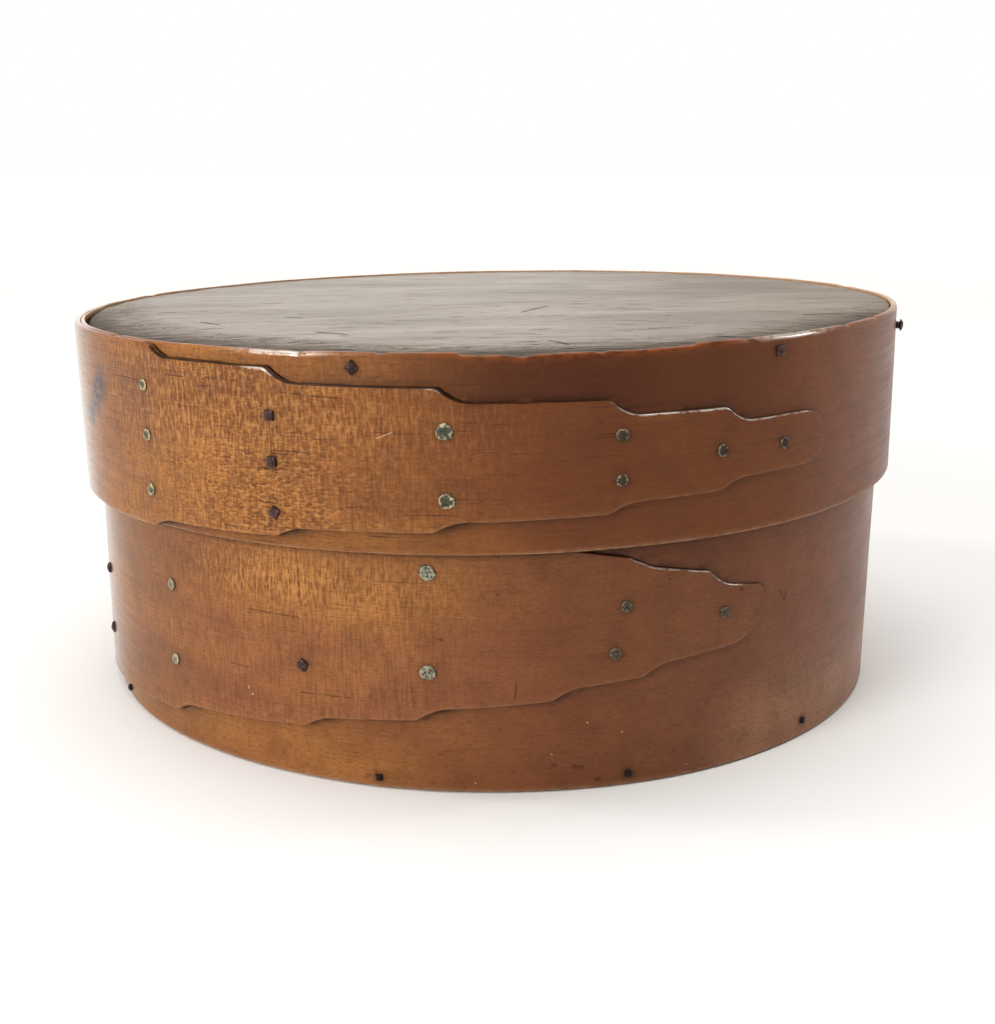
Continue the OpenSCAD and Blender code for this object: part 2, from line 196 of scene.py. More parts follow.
def cut_in(e, p):
    """How far an edge has stepped in, its corners a little rounded by the knife."""
    out = 0
    for o in (-0.3, -0.1, 0.1, 0.3):
        q = minimum(p, e.nose_from) + o
        steps = sum(1 - (1 - unit((q - c) / COVE_SPAN)) ** 2 for c in e.corners)
        out = out + (e.climb * unit((q - e.root) / (e.nose_from - e.root)) + e.step * steps) / 4
    return out


def nose(p, start, end):
    return np.sqrt(maximum(0, 1 - (maximum(0, p - start) / (end - start)) ** 2))


def low_run(s, p):
    return s.base + cut_in(s.low, p)


def top_run(s, p):
    dip = 0 if s.lid else EDGE_DIP * rise(p, 3.5, 7) * fall(p, 17.5, 2.5)
    return s.rim - cut_in(s.top, p) - dip


def tip_z(s):
    return low_run(s, s.tip) * (1 - s.tip_at) + top_run(s, s.tip) * s.tip_at


def low_z(s, p):
    return tip_z(s) + (low_run(s, p) - tip_z(s)) * nose(p, s.low.nose_from, s.tip)


def top_z(s, p):
    return tip_z(s) + (top_run(s, p) - tip_z(s)) * nose(p, s.top.nose_from, s.tip)


def rim_z(x):
    return LEAN_Z + (BODY_H - LEAN_Z) / math.cos(LEAN) + x * math.tan(LEAN)


def strip_low(s, a):
    return where(a <= TURN + s.low.root, s.base, low_z(s, a - TURN))


def strip_top(s, a, x):
    full = s.rim + 0 * x if s.lid else rim_z(x)
    return where(a <= TURN + s.top.root, full, minimum(full, top_z(s, a - TURN)))


def covered(s, p, z):
    """Whether the finger lies over this place."""
    a = TURN + p
    return s.inner_end <= p <= s.tip and strip_low(s, a) < z < strip_top(s, a, outer_r(s, a) * sin(p))


def seat_r(s, p, z):
    """Radius of the outermost layer at this place."""
    w = around(p)
    under = TURN + w if w < s.inner_end else w
    return outer_r(s, TURN + w if covered(s, w, z) else under)


def across(s, p, at):
    return low_z(s, p) * (1 - at) + top_z(s, p) * at


def bulge(x, y, z):
    """How far the bent walls stand off true, mostly inward, the same for every layer at a place."""
    broad = wander(x / 38, y / 38, z / 55, 3) - WALL_INSET
    return WALL_WANDER * (broad + 0.3 * wander(x / 13, y / 13, z / 17, 4))


def leaned(points):
    """Lays points of the lid over to the body's uneven rim."""
    x, y, z = points[..., 0], points[..., 1], points[..., 2] - LEAN_Z
    return stack([x * math.cos(LEAN) - z * math.sin(LEAN), y,
                  LEAN_Z + x * math.sin(LEAN) + z * math.cos(LEAN)], -1)


# The wood's own coordinates run along the strip at this radius, with the inside and the lid set apart
WOOD_R = 97
INSIDE_SHIFT = 40
LID_SHIFT = 200

# Dark and pale strokes on the strips: strip, angle and height of both ends, and width
HAIRLINES = [
    (lid, -24.9, 61, -24.95, 80, 0.16), (body, -23.4, 38, -23.7, 49, 0.18),
    (lid, -60.6, 68.6, -60.2, 70.6, 0.5), (lid, 10.8, 75.6, 11.3, 75.8, 0.3),
    (body, 20.6, 43.2, 20.8, 43.2, 0.35), (body, 31.1, 38.6, 31.3, 38.6, 0.55),
    (body, 38.6, 35.6, 39.4, 33.6, 0.5), (body, 39.4, 33.6, 39.8, 35.4, 0.45),
    (body, 9.4, 5, 10.6, 4.6, 0.8), (body, 12.3, 1.8, 12.8, 1.8, 0.7), (body, 6.8, 5.6, 7.2, 5.6, 0.6),
    (body, 2.4, 24, 2.2, 20.4, 0.3), (lid, -39.8, 83, -36.8, 83, 0.28),
    (lid, -33.3, 83.3, -31.6, 83.4, 0.3), (lid, -23.6, 81.4, -20.9, 81.3, 0.3),
    (lid, -19.6, 81, -16.1, 80.8, 0.26), (lid, -44.6, 78.7, -44.2, 69.3, 0.2),
    (body, -31.3, 34.8, -23.7, 34.8, 0.24), (body, -34, 22, -31.3, 22, 0.24),
    (body, -23.6, 18.9, -17.2, 19.2, 0.24), (body, -6.7, 32.9, -6.1, 32.8, 0.36),
    (body, -9.8, 22.7, -9.6, 18.6, 0.3),
]
SCRATCHES = [
    (lid, -12.6, 73.4, -10.9, 74.6, 0.13), (body, -31.4, 17.4, -31.3, 17.9, 0.2),
    (body, -30.9, 16.2, -30.8, 16.3, 0.25), (body, 11, 14.3, 11.05, 14.3, 0.25),
    (body, 15.4, 11.6, 15.45, 11.6, 0.22), (body, 6.7, 8, 6.75, 8, 0.2), (body, -2.4, 2, -2.35, 2, 0.22),
    (body, 24.3, 2.2, 24.35, 2.2, 0.2),
]

# Dents and cracks in the lid's board: X and Y of both ends, and width
BOARD_MARKS = [
    (-37, -61.5, -31, -66, 0.9), (-1.5, -13.5, 1.5, -14, 0.9), (6.5, -29, 13, -16, 0.6),
    (-0.5, -70.5, 8, -71, 0.4), (10.5, -82, 15, -88, 0.6), (69, -44, 77, -43, 0.8),
    (32, -65, 40.5, -62.5, 0.5), (-66, -38, -61, -43, 0.6), (-48, -30, -44, -33, 0.5),
]

# Chips in the lid's rim: angle, width in degrees and depth
RIM_CHIPS = [(-21.5, 0.8, 0.25), (-12.2, 0.6, 0.3), (2.8, 0.9, 0.35), (11.4, 0.5, 0.3), (29.5, 0.8, 0.2),
             (48, 0.7, 0.35), (57, 0.7, 0.3), (-52, 0.8, 0.3), (103, 1.2, 0.25), (251, 0.9, 0.3)]

# Painted shade with old grime beside the finger's edges: where it starts past the root, how much wider it
# is on slopes and at the root, how much it thins towards the tip, and its strength
DIRT_AND_SHADE_ABOVE = Record(up=1, start=0.6, on_slope=0.3, at_root=0.2, thins=0.7, strength=1)
DIRT_AND_SHADE_BELOW = Record(up=-1, start=2.4, on_slope=0.12, at_root=0, thins=0.85, strength=0.8)

# Rows of tacks and nails: strip, kind, then the angle of each and its place across the finger. In the rims
# it is the height, and for the lid's board the depth below its top
TACKS = dict(
    body_root_nails=(body, "nail", [(-69, 0.13), (-69, 0.32)]),
    body_seam_tacks=(body, "small", [(-44.6, 0.17), (-44.6, 0.42), (-44.6, 0.67)]),
    body_lap_nails=(body, "nail", [(-23.3, 0.24), (-23.3, 0.75)]),
    body_large_tacks=(body, "large", [(-7.8, 0.21), (-7.8, 0.7)]),
    body_pair_tacks=(body, "small", [(14, 0.24), (15.3, 0.61)]),
    body_tip_tack=(body, "small", [(28.7, 0.55)]),
    lid_seam_tacks=(lid, "small", [(-44.2, 0.2), (-44.2, 0.5), (-44.2, 0.77)]),
    lid_lap_nails=(lid, "nail", [(-24.9, 0.15), (-24.9, 0.46), (-24.9, 0.74)]),
    lid_large_tacks=(lid, "large", [(-5.3, 0.2), (-5.3, 0.73)]),
    lid_pair_tacks=(lid, "small", [(13.5, 0.28), (13.5, 0.74)]),
    lid_tip_tacks=(lid, "small", [(25.7, 0.49), (34.9, 0.49)]),
)
LID_NAILS = [(-15.3, 2.6), (34.1, 2.8), (73, 4.6), (121, 2.9), (169, 2.7), (217, 3), (265, 2.7)]
RIM_NAILS = dict(
    bottom_nails=(body, [(-63, 1.9), (-14.1, 2.1), (16.3, 2.4), (45, 3.6), (90, 2.6), (135, 2.3),
                         (180, 2.8), (225, 2.4)]),
    lid_board_nails=(lid, [(p, BOARD_TOP - down) for p, down in LID_NAILS]),
)
RIM_NAIL_L = 13.9

# Row and number of those set flush under the lid and of the one that stands proud, and the sooty row
FLUSH = [("body_seam_tacks", 2), ("body_lap_nails", 1)]
PROUD = [("lid_board_nails", 2)]
PROUD_BY = 0.8
PROUD_SIZE = 1.15
SOOTY = "bottom_nails"
SOOTY_SIZE = 0.66

# Hand-made heads: radius by kind, points round, how square, height, raggedness, tallest point, and rings as
# shares of the radius and of the height
HEAD_R = {"nail": 1.36, "small": 1.25, "large": 1.62}
NAIL = Record(count=12, square=0.86, high=0.62, ragged=0.12, most=0.85,
              rings=[(1, 0), (1.05, 0.3), (0.97, 0.66), (0.62, 0.9), (0.3, 0.98), (0.06, 1)])
TACK = Record(count=28, square=0.3, high=0.58, ragged=0.13, most=0.66,
              rings=[(1, 0), (1.03, 0.22), (1, 0.55), (0.93, 0.82), (0.84, 0.95), (0.7, 0.93),
                     (0.5, 0.86), (0.26, 0.84), (0.06, 0.84)])


def fastener_rows():
    """Name, strip, kind, seed, and angles and heights of every row of tacks and nails."""
    for seed, (name, (s, kind, rows)) in enumerate(TACKS.items(), 1):
        yield name, s, kind, seed, [(p, across(s, p, at)) for p, at in rows]
    for seed, (name, (s, rows)) in enumerate(RIM_NAILS.items(), 21):
        yield name, s, "nail", seed, rows


# Objects and meshes
def add_object(name, data):
    made = bpy.data.objects.new(name, data)
    bpy.context.scene.collection.objects.link(made)
    return made


def add_mesh(name, points, faces, attributes, material, smooth_faces=True):
    mesh = bpy.data.meshes.new(name)
    mesh.from_pydata((points * MM).tolist(), [], faces)
    for key, values in attributes.items():
        values = np.asarray(values, np.float32)
        kind, field = ("FLOAT_VECTOR", "vector") if values.ndim == 2 else ("FLOAT", "value")
        mesh.attributes.new(key, kind, "POINT").data.foreach_set(field, values.ravel())
    mesh.polygons.foreach_set("use_smooth", np.full(len(mesh.polygons), smooth_faces))
    mesh.update()
    mesh.materials.append(material)
    return add_object(name, mesh)


def closed_faces(rows, columns):
    """Faces of a grid of points that wraps round across its columns, and one over each end."""
    i, j = np.meshgrid(arange(rows - 1), arange(columns), indexing="ij")
    k = (j + 1) % columns
    quads = stack([i * columns + j, i * columns + k, (i + 1) * columns + k, (i + 1) * columns + j], -1)
    last = (rows - 1) * columns
    return quads.reshape(-1, 4).tolist() + [list(range(columns))[::-1], list(range(last, last + columns))]


def stations(s):
    """Angles of the cross-sections along a strip, close together where the finger is cut."""
    root = min(s.low.root, s.top.root) - 2
    start = max(s.low.nose_from - 1.5, s.top.nose_from - 12)
    u = linspace(0, 1, 36)
    v = concatenate([arange(s.inner_end, -95, 1), arange(-95, 100, 0.5), arange(100, TURN + root, 1),
                     arange(TURN + root, TURN + start, 0.3),
                     TURN + start + (s.tip - start) * (1 - (1 - u) ** 2) * 0.999])
    v = np.sort(v[v >= s.inner_end])
    return v[np.append(True, np.diff(v) > 0.0005)]


# Wear of the edges, and where highlights and shade are painted beside them
def rim_wear(s, a):
    """How far the upper edge is worn and chipped down."""
    p = around(a)
    down = 0.05 * (1 + wander(a / 6, 0, 0, 11))
    down = down + 0.04 * (1 + wander(a / 0.9, 0, 2, 13)) * smooth(wander(a / 5.5, 1, 0, 12))
    if s.lid:
        worn = 0.85 + 0.15 * wander(a / 4, 2, 1, 14)
        down = down + 0.65 * rise(p, -4.2, 0.8) * fall(p, 23.6, 1.6) * worn
        for at, wide, deep in RIM_CHIPS:
            down = down + deep * bell(p, around(at), wide)
    return down


def glints(q):
    """Where the lid's rim is worn round and painted with a highlight."""
    return bell(q, -24, 4.2) + bell(q, 36.8, 4.8)


def corner_glints(p):
    """Where the lid finger's first upper corners are worn rounder and painted with a highlight."""
    return 1.6 * bell(p, -26.2, 1.3) + 0.45 * bell(p, -6.6, 1)


def tone_angle(q):
    """The angle that sets the wood's tone, painted sheen and shade: true in front, and meeting from both
    sides at the back.
    """
    past = unit((np.abs(q) - 78) / 102)
    return np.clip(q, -78, 78) * (1 - past) - 5 * past


def edge_wander(s, a, key):
    """How far a cut edge strays from its line, dying away at the tip."""
    stray = wander(a / 5, key, 0, 21) + 0.5 * wander(a / 1.6, key, 3, 22)
    return EDGE_WANDER * stray * fall(a, TURN + s.tip, 4)


def dirt_line(s, dirt):
    """Painted shade with old grime, a thread in the corner by the finger's upper or lower edge, three
    points round.
    """
    root = (s.top if dirt.up > 0 else s.low).root
    p = arange(root + dirt.start, s.tip - 0.3, 0.25)
    z = (top_z(s, p) if dirt.up > 0 else low_z(s, p)) + edge_wander(s, TURN + p, dirt.up)
    slope = np.gradient(z, np.radians(p) * BODY_R)
    side = dirt.up / np.sqrt(1 + slope ** 2)
    wide = 0.24 + dirt.on_slope * unit(1.6 * np.abs(slope)) + 0.1 * wander(p / 1.7, dirt.up, 1, 26)
    wide = wide * (1 - dirt.thins * rise(p, 4, 9)) + dirt.at_root * bell(p, root + 2.4, 1.6)
    seat = outer_r(s, p)
    rows = []
    for off, stand in ((wide, 0.02), (0, 0.7 * strip_t(s, TURN + p)), (-0.15, -0.06)):
        out = seat + stand
        angle = p - np.degrees(slope * side * off / BODY_R)
        height = z + side * off
        out = out + bulge(out * sin(angle), -out * cos(angle), height)
        rows.append(stack([out * sin(angle), -out * cos(angle), height], -1))
    points = stack(rows, 1)[rows[0][:, 2] < s.rim - 0.3]
    return leaned(points) if s.lid else points


# Strips. Faces of the cross-section:
OUTSIDE, UPPER, INSIDE, LOWER = range(4)


def cross_section(ri, ro, over, under, small, rows):
    """Rings of a rounded cross-section, up the outside, over the top, down the inside and back.

    A ring has its radius, distances from the lower and the upper edge, share of the height, and face.
    """
    even = linspace(0, 1, rows)
    outside = 0.35 * even + 0.65 * (0.5 - 0.5 * np.cos(math.pi * even))
    inside = [1, 0.985, 0.965, *linspace(0.93, 0, 12)]
    outer_turn = linspace(0, math.pi / 2, 6)[1:-1]
    inner_turn = linspace(0, math.pi / 2, 4)[1:-1]
    halves = 0, 0.5, 1
    inmost, top_out, low_out = ri + small, ro - over, ro - under
    return [
        *((ro, under, over, k, OUTSIDE) for k in outside),
        *((top_out + over * math.cos(t), 0, over - over * math.sin(t), 1, UPPER) for t in outer_turn),
        *((top_out + (inmost - top_out) * k, 0, 0, 1, UPPER) for k in halves),
        *((inmost - small * math.sin(t), 0, small - small * math.cos(t), 1, UPPER) for t in inner_turn),
        *((ri, small, small, k, INSIDE) for k in inside),
        *((inmost - small * math.cos(t), small - small * math.sin(t), 0, 0, LOWER) for t in inner_turn),
        *((inmost + (low_out - inmost) * k, 0, 0, 0, LOWER) for k in halves),
        *((low_out + under * math.sin(t), under - under * math.cos(t), 0, 0, LOWER) for t in outer_turn),
    ]


def strip_skin(s):
    """The surface of a strip as a grid of points, and what lies where on it."""
    a = stations(s)
    p = a - TURN
    ri, ro = inner_r(s, a), outer_r(s, a)
    thick = ro - ri
    on_lap = a > TURN + min(s.low.root, s.top.root)
    low_cut = a > TURN + s.low.root
    top_cut = a > TURN + s.top.root + 1
    polished = rise(p, s.rubbed, 1.5) * fall(p, s.tip - 2.5, 3) * on_lap
    worn_low = 0.3 * EDGE_WANDER * (1 + wander(a / 4, 9, 0, 25))
    low = strip_low(s, a) + where(low_cut, edge_wander(s, a, -1), worn_low)
    down = where(top_cut, -edge_wander(s, a, 1), rim_wear(s, a))
    height = strip_top(s, a, ro * sin(a)) - low
    most = minimum(0.45 * thick, 0.3 * height)
    cut_round = CUT_ROUND + POLISHED_ROUND * (polished + s.lid * corner_glints(p))
    rim_round = RIM_ROUND + s.lid * GLINT_ROUND * glints(around(a))
    rim_most = minimum(0.75 * thick, 0.3 * height)
    over = where(top_cut, minimum(cut_round, most), minimum(rim_round, rim_most))
    under = minimum(where(low_cut, CUT_ROUND, BASE_ROUND), most)
    small = minimum(INNER_ROUND, minimum(0.2 * thick, 0.2 * height))

    rings = cross_section(ri, ro, over, under, small, s.rows)
    r, from_low, from_top, up, face = (stack([np.broadcast_to(v, len(a)) for v in values], 1)
                                       for values in zip(*rings))
    aa = np.broadcast_to(a[:, None], r.shape)
    low = np.broadcast_to(low[:, None], r.shape)
    top = strip_top(s, aa, r * sin(aa)) - down[:, None]
    z = (low + from_low) * (1 - up) + (top - from_top) * up

    # the walls wander, and the finger's edges spring a little off the layer beneath
    spring_top = unit(0.35 + 0.9 * wander(a / 7, 4, 4, 31)) * rise(p, s.top.root, 6) * fall(p, s.tip, 4)
    spring_low = unit(0.1 + 0.8 * wander(a / 6, 8, 4, 32)) * rise(p, s.low.root, 6) * fall(p, 14, 10)
    through = (r - ri[:, None]) / thick[:, None]
    out = bulge(r * sin(aa), -r * cos(aa), z)
    out = out + 0.34 * spring_top[:, None] * exp(-(top - z) / 2.2)
    out = out + 0.16 * spring_low[:, None] * exp(-(z - low) / 2)
    points = stack([(r + out) * sin(aa), -(r + out) * cos(aa), z], -1)
    if s.lid:
        points = leaned(points)
    else:
        points[..., 2] = maximum(points[..., 2], 0)

    # the first layer lies beneath the finger, from which it shows below, above or past the tip
    q = around(aa)
    first = aa <= TURN + s.inner_end
    before_tip = q < s.tip
    finger_top = top_z(s, minimum(q, s.tip))
    below = where(before_tip, low_z(s, minimum(q, s.tip)) - z, 0)
    above = where(before_tip, z - finger_top, 0)
    beyond = np.hypot((q - s.tip) * 1.7, z - tip_z(s))
    return Record(
        points=points, aa=aa, p=p[:, None], q=q, z=z, face=face, through=through, near_top=top - z,
        near_low=z - low, full_top=1 - top_cut[:, None], full_low=1 - low_cut[:, None],
        on_lap=on_lap[:, None], polished=polished[:, None], first=first, below=below, above=above,
        on_first=first & (q > s.inner_end) & (q < s.tip + 3),
        reach=where(before_tip, maximum(maximum(below, above), 0), beyond),
        over_finger=z > where(before_tip, finger_top, s.rim),
        chipped=rise(q, -9, 4) * fall(q, 42, 6), behind=rise(np.abs(q), 62, 15), toned=tone_angle(q))


def wear_and_highlight_marks(s, k):
    """Bare rims; pale lower edges, partly wear and partly painted floor light; painted highlights and
    reflections.
    """
    outer = k.face < INSIDE
    upper_cut = (1 - k.full_top) * (k.face == UPPER) * exp(-k.near_top / 0.5)
    wear = k.full_top * exp(-maximum(0, k.near_top - 0.1) / (0.3 + 0.35 * k.chipped)) * outer
    # pale lower edges: partly wear, partly painted light from the floor, less on the lid's front
    worn_and_lit_low = 1 - 0.7 * s.lid * rise(k.q, -46, 4) * fall(k.q, 8, 10)
    pale = (0.35 + 0.65 * k.full_low * worn_and_lit_low) * exp(-k.near_low / 0.3)
    pale = pale * ((k.face == OUTSIDE) | (k.face == LOWER)) * (k.through > 0.6)
    # painted highlights along the finger's upper edges, at its first corners and on the rim's glints
    gleam = k.polished * upper_cut
    if s.lid:
        gleam = gleam + unit(corner_glints(k.p)) * upper_cut
        gleam = gleam + glints(k.q) * k.full_top * outer * fall(k.near_top, 0.9, 0.4) * (k.through > 0.35)
        wear = wear * (1 - 0.85 * k.behind)
        # painted reflection along the rim's top at the back
        pale = maximum(pale, 1.8 * k.full_top * k.behind * fall(k.near_top, 0.9, 0.5))
    return dict(wear=wear, pale=pale, gleam=gleam)


def soil_and_shade_marks(s, k, gleam):
    """Painted shade with some old grime beside edges, coves, rims and heads, and grain darkened by the
    metal.
    """
    outside = k.face == OUTSIDE
    fading = 1 - 0.8 * rise(k.q, 4, 12) * (k.below > k.above)
    # painted shade in the finger's coves, on the layer beneath
    in_coves = unit(sum(bell(k.q, c + 2.6, 2.4) for c in s.low.corners))
    in_coves = in_coves * exp(-maximum(0, k.below - 0.5))
    # painted shade on the finger's cut upper and lower edge faces
    crevice = (1 - k.full_top) * (k.face == UPPER) * fall(k.q, 14, 12)
    crevice = crevice + (1 - k.full_low) * (k.face == LOWER)
    # painted shade on the rim's top face, away from its painted highlights, stronger where it is chipped
    shaded_rim_top = k.full_top * (k.face == UPPER) * fall(k.through, 0.85, 0.3) * (1 - gleam)
    # painted shade with some old grime beside the finger's edges, then the painted shade marked below
    soil = [k.on_first * outside * (k.reach > 0) * 0.5 * fading * exp(-k.reach / 0.75),
            k.on_first * outside * (k.below > 0) * fading * in_coves,
            k.on_lap * crevice * fall(k.through, 0.97, 0.25),
            (0.1 + 0.5 * k.chipped) * shaded_rim_top]
    if s.lid:
        # painted shade on the lid band's inner wall just above the board
        crack = rise(k.near_top, 0.25 + 0.5 * k.behind, 0.3) * (k.z > BOARD_TOP - 2)
        soil.append(0.9 * (k.face == INSIDE) * crack)
    else:
        # painted shadow on the body just under the lid's lower edge
        skirt = LID_LOW + k.points[..., 0] * math.tan(LEAN) - k.z
        line = exp(-maximum(0, skirt - 0.6) / 0.7) * rise(skirt, -2.4, 2)
        soil.append(0.65 * outside * line)
    streak = []
    for name, owner, _, _, rows in fastener_rows():
        for p, z in rows if owner is s else []:
            lapped = name in TACKS or covered(s, around(p), z)
            here = outside & (~k.first if lapped else k.first)
            du, dz = (k.q - around(p)) * 1.7, k.z - z
            streak.append(here * bell(dz, 0, 1.1) * exp(-np.abs(du) / 5))
            # painted shade with some old grime round each head
            soil.append(here * 0.6 * exp(-maximum(0, np.hypot(du, dz) - 0.8) / 0.7))
    return dict(soil=np.max(soil, 0), streak=np.max(streak, 0))


def finish_marks(s, k):
    """Varnish left at the sides and rims, and painted shade above and below the finger."""
    outer = k.face < INSIDE
    varnish = maximum((1 if s.lid else 0.7) * fall(k.toned, -51, 21), 0.4 * rise(k.toned, 60, 22))
    on_rim = 0.2 * k.full_top * fall(k.near_top, 0.7, 0.3) * (1 - k.chipped)
    # painted shade on the layer beneath, above the finger
    shade = k.on_first * outer * k.over_finger * fall(k.q, s.tip - (1 if s.lid else -3), 17)
    shade = shade * (0.4 + 0.75 * rise(k.q, -16, 18)) * rise(k.q, -34, 14) * (1 - 0.3 * rise(k.q, 13, 10))
    shade = shade * (0.82 if s.lid else 0.36)
    if s.lid:
        # painted shade across the lid's front, and in a band at mid height
        shade = shade + 0.16 * bell(k.q, 6, 16) * outer
        shade = shade + 0.08 * bell(k.z, 73, 5.5) * rise(k.q, -26, 14) * fall(k.q, 40, 12) * outer
        # painted shade on the lid's layer below the finger
        under_finger = k.on_first * (k.face == OUTSIDE) * (k.below > 0)
        shade = maximum(shade, under_finger * 0.24 * rise(k.q, -44, 4) * fall(k.q, 4, 14))
    return {"varnish": maximum(varnish, on_rim) * (k.face != INSIDE), "shade": shade,
            "inside": 1 * (k.face == INSIDE), "round": k.toned * (k.face != INSIDE)}


def figure_marks(s, k):
    """Where the wood is curled, flecked, golden, reddish, dull or stained, and painted floor light at the
    lower right.
    """
    q, z, last = k.q, k.z, ~k.first
    flush = dull = smudge = 0 * q
    figure = fall(q, 12, 42) * rise(q, -66, 32) * where(k.first & (q > s.low.root), 0.25, 1)
    if s.lid:
        upper = rise(z, 66, 9)
        fleck = figure * (0.3 + 0.7 * bell(q, -24, 12)) * (1 - 0.5 * upper)
        dash = figure * (0.4 + 0.6 * upper)
        glow = 0.55 * bell(q, -36, 13) * bell(z, 67, 13)
        glow = maximum(glow, 0.8 * bell(q, 17.5, 2.6) * bell(k.near_top, 0.9, 0.7) * k.on_lap)
        glow = where(k.first, 0.65 * bell(q, -36, 7) * rise(z, 78, 6), glow)
        blot = bell(q, -57, 2.6) * bell(z - 0.9 * (q + 57), 76.5, 3.4)
        blot = blot + bell(q, -61.5, 1.6) * bell(z, 70.5, 2.2)
        smudge = unit(1.8 * blot * last)
    else:
        rightward = rise(q, -46, 14)
        fleck = 0.25 * figure * rise(z, 44, 6) * rightward
        dash = figure * (0.1 + 0.75 * bell(z, 42, 6) * last * rightward)
        glow = 1.15 * bell(q, -25, 8) * bell(z, 43, 6)
        glow = maximum(glow, 0.7 * bell(q, -14, 13) * bell(z, 40, 9)) * last
        flush = rise(q, -48, 14) * fall(q, 12, 20) * fall(z, 36, 5) * last
        dull = 0.35 + 0.65 * rise(k.toned, 8, 34) * fall(z, 60, 50)
        # painted light from the floor on the body's lower right
        dull = dull + 0.95 * rise(k.toned, 20, 20) * fall(z, 22, 16)
    return dict(figure=figure, fleck=fleck, dash=dash, glow=glow, flush=flush, dull=dull, smudge=smudge)


def band(s, material):
    """A lapped strip with its marks, and the painted shade with old grime beside its finger."""
    k = strip_skin(s)
    rubbed = wear_and_highlight_marks(s, k)
    marks = {**rubbed, **soil_and_shade_marks(s, k, rubbed["gleam"]), **finish_marks(s, k), **figure_marks(s, k)}
    own_z = INSIDE_SHIFT * (k.face == INSIDE) + LID_SHIFT * s.lid
    attributes = {key: values.ravel() for key, values in marks.items()}
    attributes["wood"] = stack([np.radians(k.aa) * WOOD_R, k.z, own_z], -1).reshape(-1, 3)
    points = k.points.reshape(-1, 3)
    faces = closed_faces(*k.z.shape)
    # threads of painted shade with old grime beside the finger's edges
    for dirt in (DIRT_AND_SHADE_ABOVE, DIRT_AND_SHADE_BELOW):
        line = dirt_line(s, dirt)
        new = closed_faces(len(line), 3)
        faces += [[len(points) + i for i in (f if dirt.up > 0 else f[::-1])] for f in new]
        line = line.reshape(-1, 3)
        points = concatenate([points, line])
        for key, values in attributes.items():
            extra = line if key == "wood" else np.full(len(line), dirt.strength if key == "soil" else 0)
            attributes[key] = concatenate([values, extra])
    return add_mesh(s.name + "_band_wood", points, faces, attributes, material)


# Boards. The lid's board fits the inside of its band, with a gap at the left where it has shrunk
BOARD_ANGLES = linspace(0, TURN, 480, endpoint=False)
LID_BOARD_R = core(lid, BOARD_ANGLES) - BOARD_FIT - (0.5 * bell(around(BOARD_ANGLES), -78, 24) + 0.2)
BOTTOM_BOARD_R = BODY_R - BOARD_FIT - 0.1


def board(name, outline, low, high, seed, roll, material, lean):
    """A round board worn down towards its edge."""
    span, rim_zone = 94, 12
    angle = BOARD_ANGLES
    reach = outline - 0.12 * (1 + wander(cos(angle) * 3, sin(angle) * 3, 0, seed))
    close = rim_zone * (1 - linspace(0, 1, 40)[1:]) ** 1.6
    in_from_edge = concatenate([linspace(span - 1, rim_zone, 84), close])
    depth, aa = np.meshgrid(in_from_edge, angle, indexing="ij")
    rr = reach * maximum(1 - depth / span, 0.004)
    depth = reach - rr
    x, y = rr * sin(aa), -rr * cos(aa)
    sink = 0.07 * wander(x / 45, y / 30, 0, seed + 1) + 0.02 * wander(x / 9, y / 5, 0, seed + 2)
    sink = sink - 0.1 * rise(wander(x / 7, y / 3.2, 2, seed + 3), 0.45, 0.3)
    wide = 17 + 10 * bell(around(aa), -44, 22)
    wide = wide * (1 + 0.35 * wander(cos(aa) * 4, sin(aa) * 4, 0, seed + 4))
    worn = unit(1 - depth / wide)
    handled = 0.2 + 0.8 * smooth((0.25 - y / span - 0.3 * unit(x / span)) / 0.6)
    drop = roll * worn ** 2 * (1 + 0.3 * wander(x / 5, y / 3, 1, seed + 5))
    drop = drop + 0.4 * unit(1 - depth / 0.7) ** 2
    drop = drop * handled + 0.22 * worn * handled * wander(x / 4.5, y / 1.8, 4, seed + 7)
    upper = minimum(high - 0.1 + sink - drop, high)
    lower = low + 0.06 + 0.05 * wander(x / 50, y / 8, 3, seed + 6)
    top = stack([x, y, upper], -1)
    bottom = stack([x, y, lower], -1)[::-1]
    wall_h = lower[-1] + 0.3 - upper[-1]
    wall = stack([stack([x[-1], y[-1], upper[-1] + wall_h * k], -1) for k in (0.25, 0.5, 0.75, 1)])
    points = concatenate([top, wall, bottom])
    if lean:
        points = leaned(points)
    flat = points.reshape(-1, 3)
    ones, none = np.ones_like(worn), np.zeros_like(worn)
    attributes = {
        "wood": stack([flat[:, 0], flat[:, 1], flat[:, 2] + 50 * seed], -1),
        "edge": concatenate([worn * handled, ones[:4], worn[::-1]]).ravel(),
        "under": concatenate([none, none[:4], ones]).ravel(),
        "marked": concatenate([0.85 * lean * ones, none[:4], none]).ravel(),
    }
    return add_mesh(name, flat, closed_faces(*points.shape[:2]), attributes, material)


